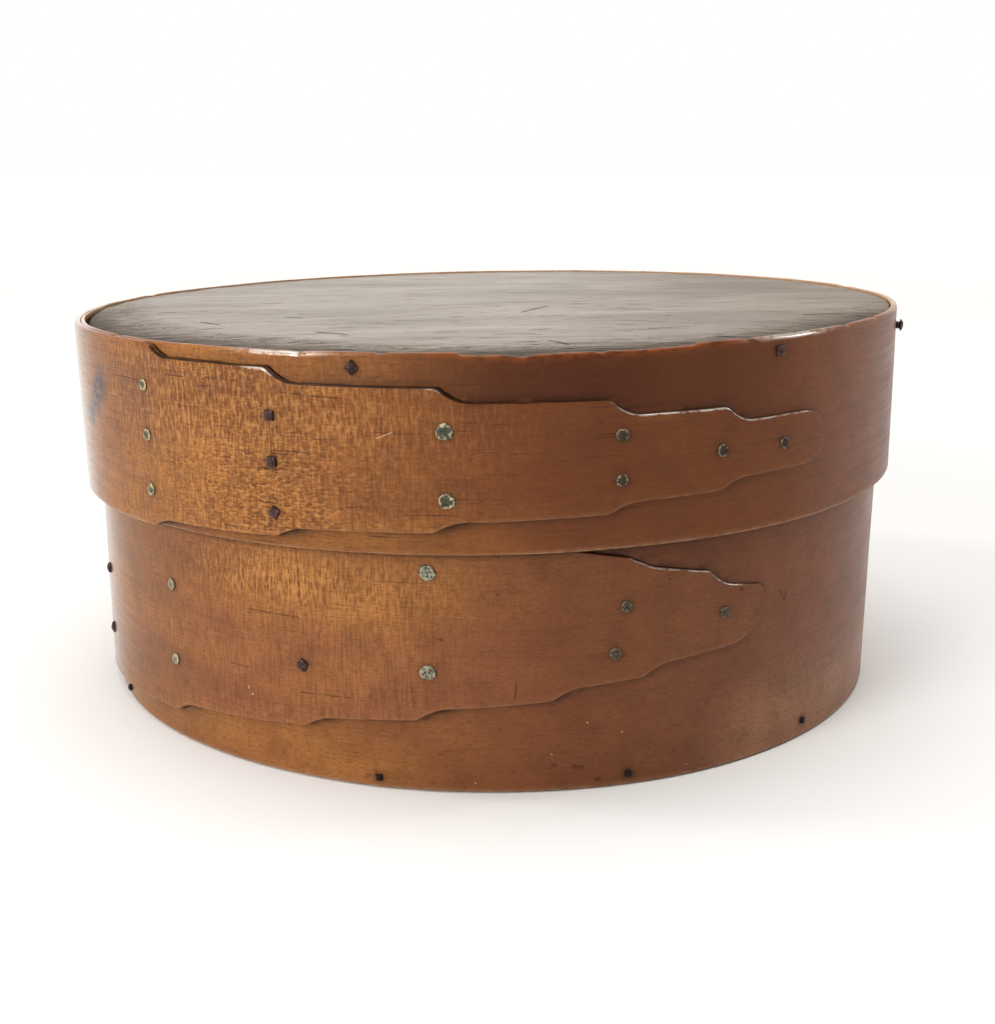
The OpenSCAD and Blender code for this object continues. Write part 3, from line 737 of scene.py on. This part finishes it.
# Tacks and nails
def head(kind, seed, turn, size):
    """Rings of one hand-made head, +Z out of the wood, and how near each point is to its rim."""
    forged = kind == "nail"
    h = NAIL if forged else TACK
    radius = HEAD_R[kind] * size
    half = math.pi / (4 if forged else 5 + seed % 3)
    angle = linspace(0, 2 * math.pi, h.count, endpoint=False) - turn
    flat = math.cos(half) / np.cos((angle + turn) % (2 * half) - half)
    rim = 1 - h.square + h.square * flat
    rim = rim * (1 + h.ragged * wander(np.cos(angle) * 2.1, np.sin(angle) * 2.1, seed, 41))
    tilt_x = 0.16 * wander(seed * 1.7, 0.3, 0.6, 42)
    tilt_y = 0.16 * wander(seed * 2.3, 4.3, 0.6, 43)
    points, mark = [], []
    for share, up in h.rings:
        x, y = radius * rim * share * np.cos(angle), radius * rim * share * np.sin(angle)
        dent = 0.16 * wander(x * 1.3, y * 1.3, seed * 3.1, 44)
        dent = dent + 0.07 * wander(x * 3.4, y * 3.4, seed * 1.9, 45)
        if forged:
            dent = dent + 0.3 * (1 - np.abs(x * math.cos(turn) + y * math.sin(turn)) / radius)
        z = h.high * up * 0.82 + (dent + tilt_x * x + tilt_y * y) * unit((up - 0.3) * 1.6)
        points.append(stack([x, y, np.clip(z, -0.1, h.most)], -1))
        mark.append(np.full(h.count, share if up > 0.3 else 1.2))
    return stack(points), stack(mark)


def shank(count, depth, neck, clinched):
    """Rings of a shank down to its point, which is clinched over on the inside of a lap."""
    spread = linspace(0, 2 * math.pi, count, endpoint=False)
    x, y = np.cos(spread), np.sin(spread)
    levels = [(0, neck), (-1, neck), (-1.6, 0.52), (0.3 - depth, 0.42), (0.02 - depth, 0.36)]
    rings = [stack([r * x, r * y, np.full(count, at)], -1) for at, r in levels]
    if clinched:
        along, narrowing = x * where(x > 0, 1.4, 0.75), y * (1 - 0.3 * x)
        for at, length, width in [(0.02, 0.9, 0.7), (-0.1, 1.5, 0.8), (-0.2, 1.3, 0.62), (-0.22, 0.5, 0.3)]:
            rings.append(stack([length * along, width * narrowing, np.full(count, at - depth)], -1))
    return stack(rings)


def fastener(name, s, kind, seed, rows, material):
    """A row of heads with their shanks."""
    points, faces, rim, place = [], [], [], []
    base = 0
    lapped = name in TACKS
    for i, (p, z) in enumerate(rows):
        key = seed * 7 + i
        proud = (name, i) in PROUD
        size = SOOTY_SIZE if name == SOOTY else PROUD_SIZE if proud else 1
        turn = 0.4 * wander(key * 3.3, 0.5, 0.5, 51) + (math.pi / 4 if kind == "nail" and i else 0)
        top, mark = head(kind, key, turn, size)
        if (name, i) in FLUSH:
            top[..., 2] = top[..., 2] * 0.4 - 0.1
        seat = seat_r(s, p, z)
        depth = seat - core(s, p) if lapped else RIM_NAIL_L
        stem = shank(top.shape[1], depth, 0.85 if proud else 0.52, lapped)
        rings = concatenate([top[::-1], stem])
        stand = seat + bulge(seat * sin(p), -seat * cos(p), z) + (PROUD_BY if proud else 0)
        axes = np.array([[cos(p), sin(p), 0], [0, 0, 1], [sin(p), -cos(p), 0]])
        world = (rings.reshape(-1, 3) + [0, z, stand]) @ axes
        points.append(leaned(world) if s.lid else world)
        faces += [[base + k for k in f] for f in closed_faces(*rings.shape[:2])]
        rim.append(concatenate([mark[::-1].ravel(), np.zeros(stem[..., 0].size)]))
        place.append(np.full(len(world), around(p)))
        base += len(world)
    attributes = {"rim": concatenate(rim), "place": concatenate(place),
                  "sooty": np.full(base, name == SOOTY)}
    return add_mesh(name + "_heads", concatenate(points), faces, attributes, material, kind != "nail")


# Node graphs
class Graph:
    """The nodes of a material or world, made one call at a time."""

    def __init__(self, owner):
        owner.use_nodes = True
        self.owner = owner
        self.tree = owner.node_tree
        kinds = "ShaderNodeBsdfPrincipled", "ShaderNodeBackground"
        self.shader = next(n for n in self.tree.nodes if n.bl_idname in kinds)

    def put(self, socket, value):
        if isinstance(value, bpy.types.NodeSocket):
            self.tree.links.new(value, socket)
        else:
            socket.default_value = value

    def node(self, kind, inputs, **settings):
        made = self.tree.nodes.new("ShaderNode" + kind)
        for key, value in settings.items():
            setattr(made, key, value)
        for key, value in inputs.items():
            self.put(made.inputs[key], value)
        return made

    def attribute(self, name, output="Fac"):
        return self.node("Attribute", {}, attribute_name=name).outputs[output]

    def attributes(self, names):
        return Record(**{name: self.attribute(name) for name in names.split()})

    def place(self):
        return self.node("TexCoord", {}).outputs["Object"]

    def vector_math(self, operation, inputs, output=0):
        return self.node("VectorMath", inputs, operation=operation).outputs[output]

    def scaled(self, vector, x, y, z=1):
        return self.vector_math("MULTIPLY", {0: vector, 1: (1 / x, 1 / y, 1 / z)})

    def noise(self, vector, size, detail=2, rough=0.5, distortion=0):
        return self.node("TexNoise", {"Vector": self.scaled(vector, *size), "Scale": 1, "Detail": detail,
                                      "Roughness": rough, "Distortion": distortion}).outputs["Fac"]

    def noises(self, vector, table):
        return Record(**{name: self.noise(vector, *how) for name, how in table.items()})

    def spots(self, vector, radius):
        """Uneven spots of about this radius, one to a unit cell, and the net between them."""
        stir = self.node("TexNoise", {"Vector": vector, "Scale": 0.9, "Detail": 1}).outputs["Color"]
        stirred = self.vector_math("MULTIPLY_ADD", {0: stir, 1: (0.9, 0.9, 0), 2: vector})
        made = self.node("TexVoronoi", {"Vector": stirred, "Scale": 1}, voronoi_dimensions="2D")
        spot = self.ease(made.outputs["Distance"], radius, 0.7 * radius)
        spot = self.times(spot, self.ease(made.outputs["Color"], 0.25, 0.7, 0.35, 1))
        return spot, self.ease(made.outputs["Distance"], 1.2 * radius, 1.8 * radius)

    def math(self, operation, a, b):
        return self.node("Math", {0: a, 1: b}, operation=operation).outputs[0]

    def times(self, first, *others):
        for value in others:
            first = self.math("MULTIPLY", first, value)
        return first

    def plus(self, a, b):
        return self.math("ADD", a, b)

    def minus(self, a, b):
        return self.math("SUBTRACT", a, b)

    def ease(self, value, low, high, to_low=0, to_high=1):
        return self.node("MapRange", {"Value": value, "From Min": low, "From Max": high, "To Min": to_low,
                                      "To Max": to_high}, interpolation_type="SMOOTHSTEP").outputs[0]

    def mix(self, share, a, b):
        made = self.node("Mix", {0: share}, data_type="RGBA")
        self.put(made.inputs[6], a)
        self.put(made.inputs[7], b)
        return made.outputs[2]

    def layers(self, colour, **coats):
        """Lays coats over a colour in turn: each is a paint, and shares that are multiplied."""
        for paint, *shares in coats.values():
            colour = self.mix(self.times(*shares), colour, (*paint, 1))
        return colour

    def ramp(self, value, stops):
        made = self.node("ValToRGB", {"Fac": value})
        while len(made.color_ramp.elements) < len(stops):
            made.color_ramp.elements.new(0.5)
        for e, (at, colour) in zip(made.color_ramp.elements, stops):
            e.position = at
            e.color = (*colour, 1)
        return made.outputs["Color"]

    def bump(self, height, distance, strength, normal=None):
        inputs = {"Height": height, "Distance": distance, "Strength": strength}
        if normal is not None:
            inputs["Normal"] = normal
        return self.node("Bump", inputs).outputs[0]

    def stroke(self, vector, start, end, width):
        """1 on the line between two points, falling to 0 at its width."""
        run = Vector(end) - Vector(start)
        gone = self.vector_math("SUBTRACT", {0: vector, 1: start})
        share = self.vector_math("DOT_PRODUCT", {0: gone, 1: run / run.length_squared}, "Value")
        share = self.node("Clamp", {"Value": share}).outputs[0]
        nearest = self.vector_math("SCALE", {0: run, "Scale": share})
        off = self.vector_math("DISTANCE", {0: gone, 1: nearest}, "Value")
        return self.ease(off, width, 0.3 * width)

    def finish(self, **sockets):
        for key, value in sockets.items():
            self.put(self.shader.inputs[key.replace("_", " ").title().replace("Ior", "IOR")], value)
        return self.owner


# Noise in the materials: size along, across and through, then detail, roughness and distortion
BAND_NOISE = dict(
    tone=((46, 17, 30), 3, 0.55, 0.6),
    cloud=((8, 9, 30), 2, 0.5, 0.4),
    grain=((20, 0.6, 30), 3, 0.55, 0.25),
    curl=((0.5, 6, 30), 2, 0.55, 0.2),
    speckle=((2.5, 2.5, 30), 2),
    line=((13, 0.28, 30), 2, 0.4, 0.1),
    mottle=((4.4, 3.6, 30), 4, 0.7, 0.4),
    pores=((1.5, 0.3, 30), 2, 0.6),
    rub=((2.2, 1.1, 30), 3, 0.6),
    blot=((1.1, 1.1, 30), 3, 0.6),
    dents=((9, 7, 9), 2),
)
BOARD_NOISE = dict(
    tone=((55, 18, 20), 3, 0.55, 0.8),
    rings=((60, 2.6, 20), 3, 0.5, 0.25),
    grain=((13, 0.7, 20), 3, 0.6, 0.2),
    crack=((7, 1, 20), 2, 0.45, 0.6),
    crease=((7.5, 2.2, 20), 3, 0.55, 0.6),
)
COPPER_NOISE = dict(
    spot=((0.0009,) * 3, 3, 0.6),
    pit=((0.00045,) * 3, 2, 0.5, 0.6),
    green=((0.004,) * 3, 1),
    dent=((0.0007,) * 3, 2, 0.6),
)
IRON_NOISE = dict(
    rust=((0.0011,) * 3, 3, 0.6),
    pit=((0.0004,) * 3, 2, 0.6),
)

# Colours: tones from where a noise is low to where it is high, then paints for many marks
BAND_TONES = [(0.3, (0.21, 0.072, 0.017)), (0.5, (0.29, 0.106, 0.024)), (0.7, (0.37, 0.148, 0.032))]
BOARD_TONES = [(0.3, (0.125, 0.08, 0.048)), (0.5, (0.165, 0.112, 0.07)), (0.72, (0.22, 0.155, 0.1))]
COPPER_TONES = [(0.3, (0.075, 0.07, 0.048)), (0.5, (0.15, 0.142, 0.1)), (0.72, (0.27, 0.235, 0.155))]
IRON_TONES = [(0.32, (0.012, 0.004, 0.004)), (0.52, (0.038, 0.013, 0.011)), (0.72, (0.11, 0.045, 0.036))]
DARK_GRAIN = (0.085, 0.028, 0.01)
DARK_FLECK = (0.105, 0.03, 0.008)
HAIRLINE = (0.06, 0.02, 0.007)
SCRATCH = (0.62, 0.42, 0.22)


def wood_spot(s, p, z):
    """A place on the outside of a strip, as its wood coordinates."""
    return math.radians(TURN + p if covered(s, p, z) else p) * WOOD_R, z, LID_SHIFT if s.lid else 0


def band_wood():
    """Golden left, brown right partly as painted shade, dull below with painted floor light; curl and
    flecks in the fingers.
    """
    g = Graph(bpy.data.materials.new("bent_band_wood"))
    w = g.attribute("wood", "Vector")
    n = g.noises(w, BAND_NOISE)
    at = g.attributes("round glow dull flush shade figure fleck dash streak inside soil wear pale gleam "
                      "varnish smudge")
    right = g.ease(at.round, -20, 10)
    left = g.minus(1, g.times(right, 0.6))
    curled = g.ease(at.figure, 0, 0.6, 0.06, 0.9)
    some = g.ease(n.speckle, 0.3, 0.6, 0.45, 1)
    fleck, fleck_net = g.spots(g.scaled(w, 1.15, 0.56), 0.44)
    dash, dash_net = g.spots(g.scaled(w, 0.62, 2.3), 0.38)
    flecks = g.times(fleck, some, at.fleck)
    dashes = g.times(dash, some, at.dash)
    net = g.plus(g.times(fleck_net, at.fleck), g.times(dash_net, at.dash))
    lines = g.times(g.ease(n.line, 0.68, 0.73), g.ease(at.dull, 0, 0.35, 1, 0.6))
    gleam = g.times(at.gleam, g.ease(n.rub, 0.38, 0.54, 0.12, 1))
    colour = g.layers(
        g.ramp(n.tone, BAND_TONES),
        golden=((0.48, 0.2, 0.042), at.glow),
        # darker brown to the right: partly the wood's tone, partly painted shade
        brown=((0.12, 0.03, 0.008), right, 0.78),
        russet=((0.22, 0.06, 0.013), g.ease(at.round, 20, 50, 0, 0.6)),
        dull=((0.26, 0.118, 0.072), at.dull, 0.42),
        # painted light from the floor, paler on the body's lower right
        faded=((0.4, 0.19, 0.09), g.ease(at.dull, 0.8, 1.9, 0, 0.5)),
        reddish=((0.22, 0.073, 0.038), at.flush, 0.42),
        umber=((0.17, 0.068, 0.019), g.ease(at.round, -33, -46, 0, 0.3)),
        # painted sheen: paler and greyer towards the left side
        bleached=((0.255, 0.155, 0.085), g.ease(at.round, -50, -76, 0, 0.6)),
        # painted shade above and below the finger
        shade=((0.055, 0.011, 0.003), at.shade, 0.8),
        cloud=(DARK_GRAIN, g.ease(n.cloud, 0.4, 0.7, 0, 0.22)),
        grain=(DARK_GRAIN, g.ease(n.grain, 0.45, 0.72, 0, 0.2)),
        curl=(DARK_GRAIN, g.ease(n.curl, 0.44, 0.64, 0, 0.42), curled),
        dashes=(DARK_FLECK, dashes, 0.85),
        flecks=(DARK_FLECK, flecks, 0.95),
        # painted highlights: a pale net between the flecks and dashes
        net=((0.64, 0.34, 0.12), net, 0.24),
        mottle=(DARK_GRAIN, g.ease(n.mottle, 0.5, 0.75, 0, 0.3)),
        # painted highlights: pale mottle on the left side
        light=((0.45, 0.2, 0.07), g.ease(n.mottle, 0.45, 0.25, 0, 0.12), left),
        pores=(DARK_GRAIN, g.ease(n.pores, 0.48, 0.66, 0, 0.42)),
        lines=((0.035, 0.011, 0.005), lines, g.ease(left, 0.4, 1, 0.35, 0.75)),
        streak=((0.025, 0.009, 0.004), at.streak, g.ease(n.line, 0.55, 0.62), 0.4),
        inside=((0.5, 0.28, 0.12), at.inside, 0.45),
        # painted shade with some old grime: corners, edge faces, rim tops, under the lid and round the
        # heads
        soil=((0.016, 0.006, 0.003), at.soil, g.ease(n.grain, 0.2, 0.6, 0.6, 1), 0.9),
        worn=((0.25, 0.066, 0.014), at.wear, g.ease(n.rub, 0.35, 0.6, 0.1, 1), 0.8),
        # pale lower edges, partly wear and partly painted floor light, and a painted reflection on the back
        # rim
        pale=((0.5, 0.3, 0.17), at.pale, g.ease(n.rub, 0.3, 0.6, 0.2, 0.75)),
        # painted highlight on the finger's upper edges and the rim's glints
        bright=((0.85, 0.78, 0.7), gleam, 0.85),
        stain=((0.042, 0.042, 0.05), at.smudge, g.ease(n.blot, 0.3, 0.58, 0.2, 0.95)))
    broken = g.ease(n.speckle, 0.35, 0.55, 0.25, 0.75)
    for strokes, paint, strength in ((HAIRLINES, HAIRLINE, broken), (SCRATCHES, SCRATCH, 0.6)):
        for owner, p, z, to_p, to_z, wide in strokes:
            mark = g.stroke(w, wood_spot(owner, p, z), wood_spot(owner, to_p, to_z), wide)
            colour = g.layers(colour, mark=(paint, mark, strength))
    height = g.plus(g.times(n.grain, 0.4), g.times(n.curl, curled, 0.3))
    height = g.minus(height, g.times(lines, 0.8))
    height = g.minus(height, g.times(g.plus(flecks, dashes), 0.4))
    fine = g.bump(height, 0.0001, 0.7)
    rough = g.ease(g.plus(g.times(n.tone, 0.5), g.times(n.grain, 0.5)), 0.3, 0.7, 0.32, 0.46)
    rough = g.minus(g.plus(rough, g.times(at.inside, 0.2)), g.times(gleam, 0.2))
    return g.finish(base_color=colour, roughness=rough, normal=g.bump(n.dents, 0.0004, 0.3, fine), ior=1.2,
                    metallic=g.times(gleam, 0.75), coat_weight=g.ease(at.varnish, 0, 1, 0.13, 1),
                    coat_ior=1.45, coat_roughness=0.16)


def board_wood():
    """Grey-brown, with cracks towards the front, creases in the worn edge, and single dents."""
    g = Graph(bpy.data.materials.new("old_board_wood"))
    w = g.attribute("wood", "Vector")
    n = g.noises(w, BOARD_NOISE)
    at = g.attributes("edge under marked")
    axes = g.node("SeparateXYZ", {0: w}).outputs
    cracks = g.ease(g.plus(n.crack, g.ease(at.edge, 0, 0.7, 0, 0.06)), 0.665, 0.69)
    cracks = g.times(cracks, g.ease(axes["Y"], -90, 30, 1, 0.12))
    off = g.math("ABSOLUTE", g.minus(n.crease, 0.5), 0)
    worn = g.times(g.ease(at.edge, 0.05, 0.6), g.ease(axes["X"], -40, 20, 1, 0.45))
    creases = g.times(g.ease(off, 0.035, 0.005), worn)
    marks = g.math("MAXIMUM", cracks, g.times(creases, 0.6))
    broken = g.times(g.ease(n.grain, 0.36, 0.56, 0.45, 1.1), at.marked)
    level = g.vector_math("MULTIPLY", {0: w, 1: (1, 1, 0)})
    for x, y, to_x, to_y, wide in BOARD_MARKS:
        stroke = g.stroke(level, (x, y, 0), (to_x, to_y, 0), wide)
        marks = g.math("MAXIMUM", marks, g.times(stroke, broken))
    grime = g.ease(g.plus(at.edge, g.ease(n.grain, 0.3, 0.7, -0.12, 0.12)), 0.42, 1.1)
    colour = g.layers(
        g.ramp(n.tone, BOARD_TONES),
        rings=((0.06, 0.036, 0.022), g.ease(n.rings, 0.42, 0.7, 0, 0.35)),
        grain=((0.05, 0.032, 0.022), g.ease(n.grain, 0.5, 0.75, 0, 0.35)),
        marks=((0.008, 0.006, 0.004), marks, 0.82),
        grime=((0.016, 0.012, 0.009), grime, 0.85),
        under=((0.34, 0.21, 0.11), at.under, 0.6))
    height = g.plus(g.times(n.grain, 0.25), g.times(n.rings, 0.12))
    fine = g.bump(g.minus(height, g.times(marks, 1.6)), 0.0002, 0.45)
    folds = g.times(g.ease(off, 0, 0.2), worn)
    rough = g.plus(g.ease(n.tone, 0.3, 0.7, 0.32, 0.27), g.ease(axes["X"], 0, 90, 0, 0.12))
    rough = g.plus(rough, g.times(g.math("MAXIMUM", marks, grime), 0.5))
    return g.finish(base_color=colour, roughness=rough, normal=g.bump(folds, 0.0004, 0.6, fine), ior=1.5)


def copper():
    """Tarnished, with bright rims at the left, brown heads at the right, and beaten ones on the body."""
    g = Graph(bpy.data.materials.new("old_copper"))
    w = g.place()
    n = g.noises(w, COPPER_NOISE)
    at = g.attributes("rim place")
    aged = g.ease(at.place, 5, 16)
    fresh = g.ease(at.place, -30, -42)
    on_lid = g.ease(g.node("SeparateXYZ", {0: w}).outputs["Z"], 0.05, 0.056)
    middle = g.plus(at.rim, g.ease(n.dent, 0.3, 0.7, -0.3, 0.3))
    beaten = g.times(g.ease(n.pit, 0.56, 0.44, 0, 0.7), g.minus(1, on_lid))
    bright = g.times(g.ease(aged, 0, 1, 0.8, 0.32), g.ease(on_lid, 0, 1, 0.4, 1))
    shine = g.times(g.ease(middle, 0.76, 0.9), g.ease(n.spot, 0.38, 0.5))
    colour = g.layers(
        g.ramp(n.spot, COPPER_TONES),
        green=((0.125, 0.145, 0.118), g.ease(n.green, 0.45, 0.65, 0, 0.6)),
        pits=((0.03, 0.028, 0.02), g.ease(n.pit, 0.52, 0.62, 0, 0.75)),
        hollow=((0.035, 0.04, 0.03), g.ease(middle, 0.8, 0.5, 0, 0.75)),
        fresh=((0.34, 0.27, 0.14), fresh, g.ease(middle, 0.4, 0.8, 0.15, 0.7)),
        aged=((0.044, 0.023, 0.013), aged, g.ease(at.rim, 0.95, 0.85, 0.7, 0.96)),
        beaten=((0.34, 0.33, 0.25), beaten, g.ease(aged, 0, 1, 1, 0.25)),
        rim=((0.58, 0.5, 0.31), shine, bright),
        # painted shade with some grime at the foot of each head
        dirt=((0.02, 0.014, 0.009), g.ease(at.rim, 1.05, 1.12, 0, 0.9)))
    rough = g.plus(g.ease(n.spot, 0.3, 0.7, 0.55, 0.34), g.times(aged, 0.25))
    return g.finish(base_color=colour, metallic=g.ease(aged, 0, 1, 0.6, 0.2), roughness=rough,
                    normal=g.bump(n.pit, 0.00025, 0.7), specular_ior_level=0.25)


def iron():
    g = Graph(bpy.data.materials.new("old_iron"))
    n = g.noises(g.place(), IRON_NOISE)
    at = g.attributes("rim sooty")
    colour = g.layers(
        g.ramp(n.rust, IRON_TONES),
        # painted shade with some grime at the foot of each head
        dirt=((0.01, 0.006, 0.005), g.ease(at.rim, 1.05, 1.12, 0, 0.85)),
        soot=((0.006, 0.004, 0.004), at.sooty, 0.8))
    rough = g.plus(g.ease(n.rust, 0.3, 0.7, 0.2, 0.4), g.times(at.sooty, 0.4))
    return g.finish(base_color=colour, metallic=0.2, roughness=rough, normal=g.bump(n.pit, 0.00025, 0.7),
                    specular_ior_level=0.3)


# Pieces
def take(piece, owner, node, slot):
    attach(piece, "lid" if owner is lid else "box")
    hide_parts(node)


band_look, board_look, tack_look, nail_look = band_wood(), board_wood(), copper(), iron()
take(band(body, band_look), body, "body_band", "band_wood")
take(band(lid, band_look), lid, "lid_band", "band_wood")
lid_board = board("lid_board_wood", LID_BOARD_R, BOARD_LOW, BOARD_TOP, 61, 0.5, board_look, True)
take(lid_board, lid, "lid_board", "board_wood")
bottom_board = board("bottom_board_wood", BOTTOM_BOARD_R, 0, BOTTOM_T, 71, 0.1, board_look, False)
take(bottom_board, body, "bottom_board", "board_wood")
for name, owner, kind, seed, rows in fastener_rows():
    look, slot = (nail_look, "iron") if kind == "nail" else (tack_look, "copper")
    take(fastener(name, owner, kind, seed, rows, look), owner, name, slot)


# Studio
WHITE = (1, 1, 1)
FLOOR_HALF = 30000
FLOOR_Z = -0.3
PHOTO_WIDTH = 995
FOCAL_PIXELS = 1351
SENSOR_WIDTH = 36
CAMERA_PLACE = (-0.00275, -0.3447, 0.12176)
CAMERA_YAW = 0.012
CAMERA_PITCH = 0.2504
CAMERA_ROLL = -0.0035
LIGHT_AIM = Vector((0, 0, 0.05))


def floor():
    """A pale floor, brighter far off so that it runs into the backdrop."""
    g = Graph(bpy.data.materials.new("pale_floor"))
    w = g.place()
    distance = g.vector_math("LENGTH", {0: w}, "Value")
    colour = g.layers((0.83, 0.83, 0.83, 1), cloudy=((0.86, 0.86, 0.86), g.noise(w, (0.6, 0.6, 0.6))),
                      far=((0.94, 0.94, 0.94), g.ease(distance, 0.25, 1.6)))
    g.finish(base_color=colour, roughness=0.9, specular_ior_level=0.1, emission_color=(*WHITE, 1),
             emission_strength=g.ease(distance, 0.7, 4, 0, 0.25))
    sides = [(-1, -1), (1, -1), (1, 1), (-1, 1)]
    corners = np.array([[x * FLOOR_HALF, y * FLOOR_HALF, FLOOR_Z] for x, y in sides])
    return add_mesh("studio_floor", corners, [[0, 1, 2, 3]], {}, g.owner)


def soft_light(name, azimuth, elevation, distance, size, power, colour):
    data = bpy.data.lights.new(name, "AREA")
    data.shape = "DISK"
    data.size = size
    data.energy = power
    data.color = colour
    made = add_object(name, data)
    out = Vector((sin(azimuth) * cos(elevation), -cos(azimuth) * cos(elevation), sin(elevation)))
    made.location = LIGHT_AIM + out * distance
    made.rotation_mode = "QUATERNION"
    made.rotation_quaternion = out.to_track_quat("Z", "Y")


def studio_world():
    """Soft light from behind and overhead, dim in front, against a plain white backdrop."""
    g = Graph(bpy.data.worlds.new("studio"))
    axes = g.node("SeparateXYZ", {0: g.node("TexCoord", {}).outputs["Generated"]}).outputs
    behind = g.ease(axes["Y"], -0.5, 0.6, 0.14, 1.25)
    low = g.ease(axes["Z"], 0.18, 0.5, 1, 0.35)
    overhead = g.ease(axes["Z"], 0.72, 1, 0, 2.9)
    strength = g.plus(g.times(behind, low), overhead)
    backdrop = g.node("LightPath", {}).outputs["Is Camera Ray"]
    bpy.context.scene.world = g.finish(color=g.layers((1, 0.98, 0.95, 1), backdrop=(WHITE, backdrop)),
                                       strength=g.ease(backdrop, 0, 1, strength, 1))


def photo_camera():
    data = bpy.data.cameras.new("photo_camera")
    data.sensor_fit = "HORIZONTAL"
    data.sensor_width = SENSOR_WIDTH
    data.lens = SENSOR_WIDTH * FOCAL_PIXELS / PHOTO_WIDTH
    data.clip_start = 0.01
    data.clip_end = 200
    made = add_object("photo_camera", data)
    yaw = Matrix.Rotation(-CAMERA_YAW, 4, "Z")
    pitch = Matrix.Rotation(math.pi / 2 - CAMERA_PITCH, 4, "X")
    roll = Matrix.Rotation(-CAMERA_ROLL, 4, "Z")
    made.matrix_world = Matrix.Translation(CAMERA_PLACE) @ yaw @ pitch @ roll
    bpy.context.scene.camera = made


floor()
soft_light("key", -42, 20, 1.1, 0.5, 8, (1, 0.97, 0.92))
soft_light("left_edge", -92, 42, 1.2, 0.2, 2.2, WHITE)
soft_light("right_edge", 102, 30, 1.2, 0.2, 1.6, (1, 0.99, 0.98))
studio_world()
photo_camera()
bpy.context.scene.view_settings.view_transform = "Standard"
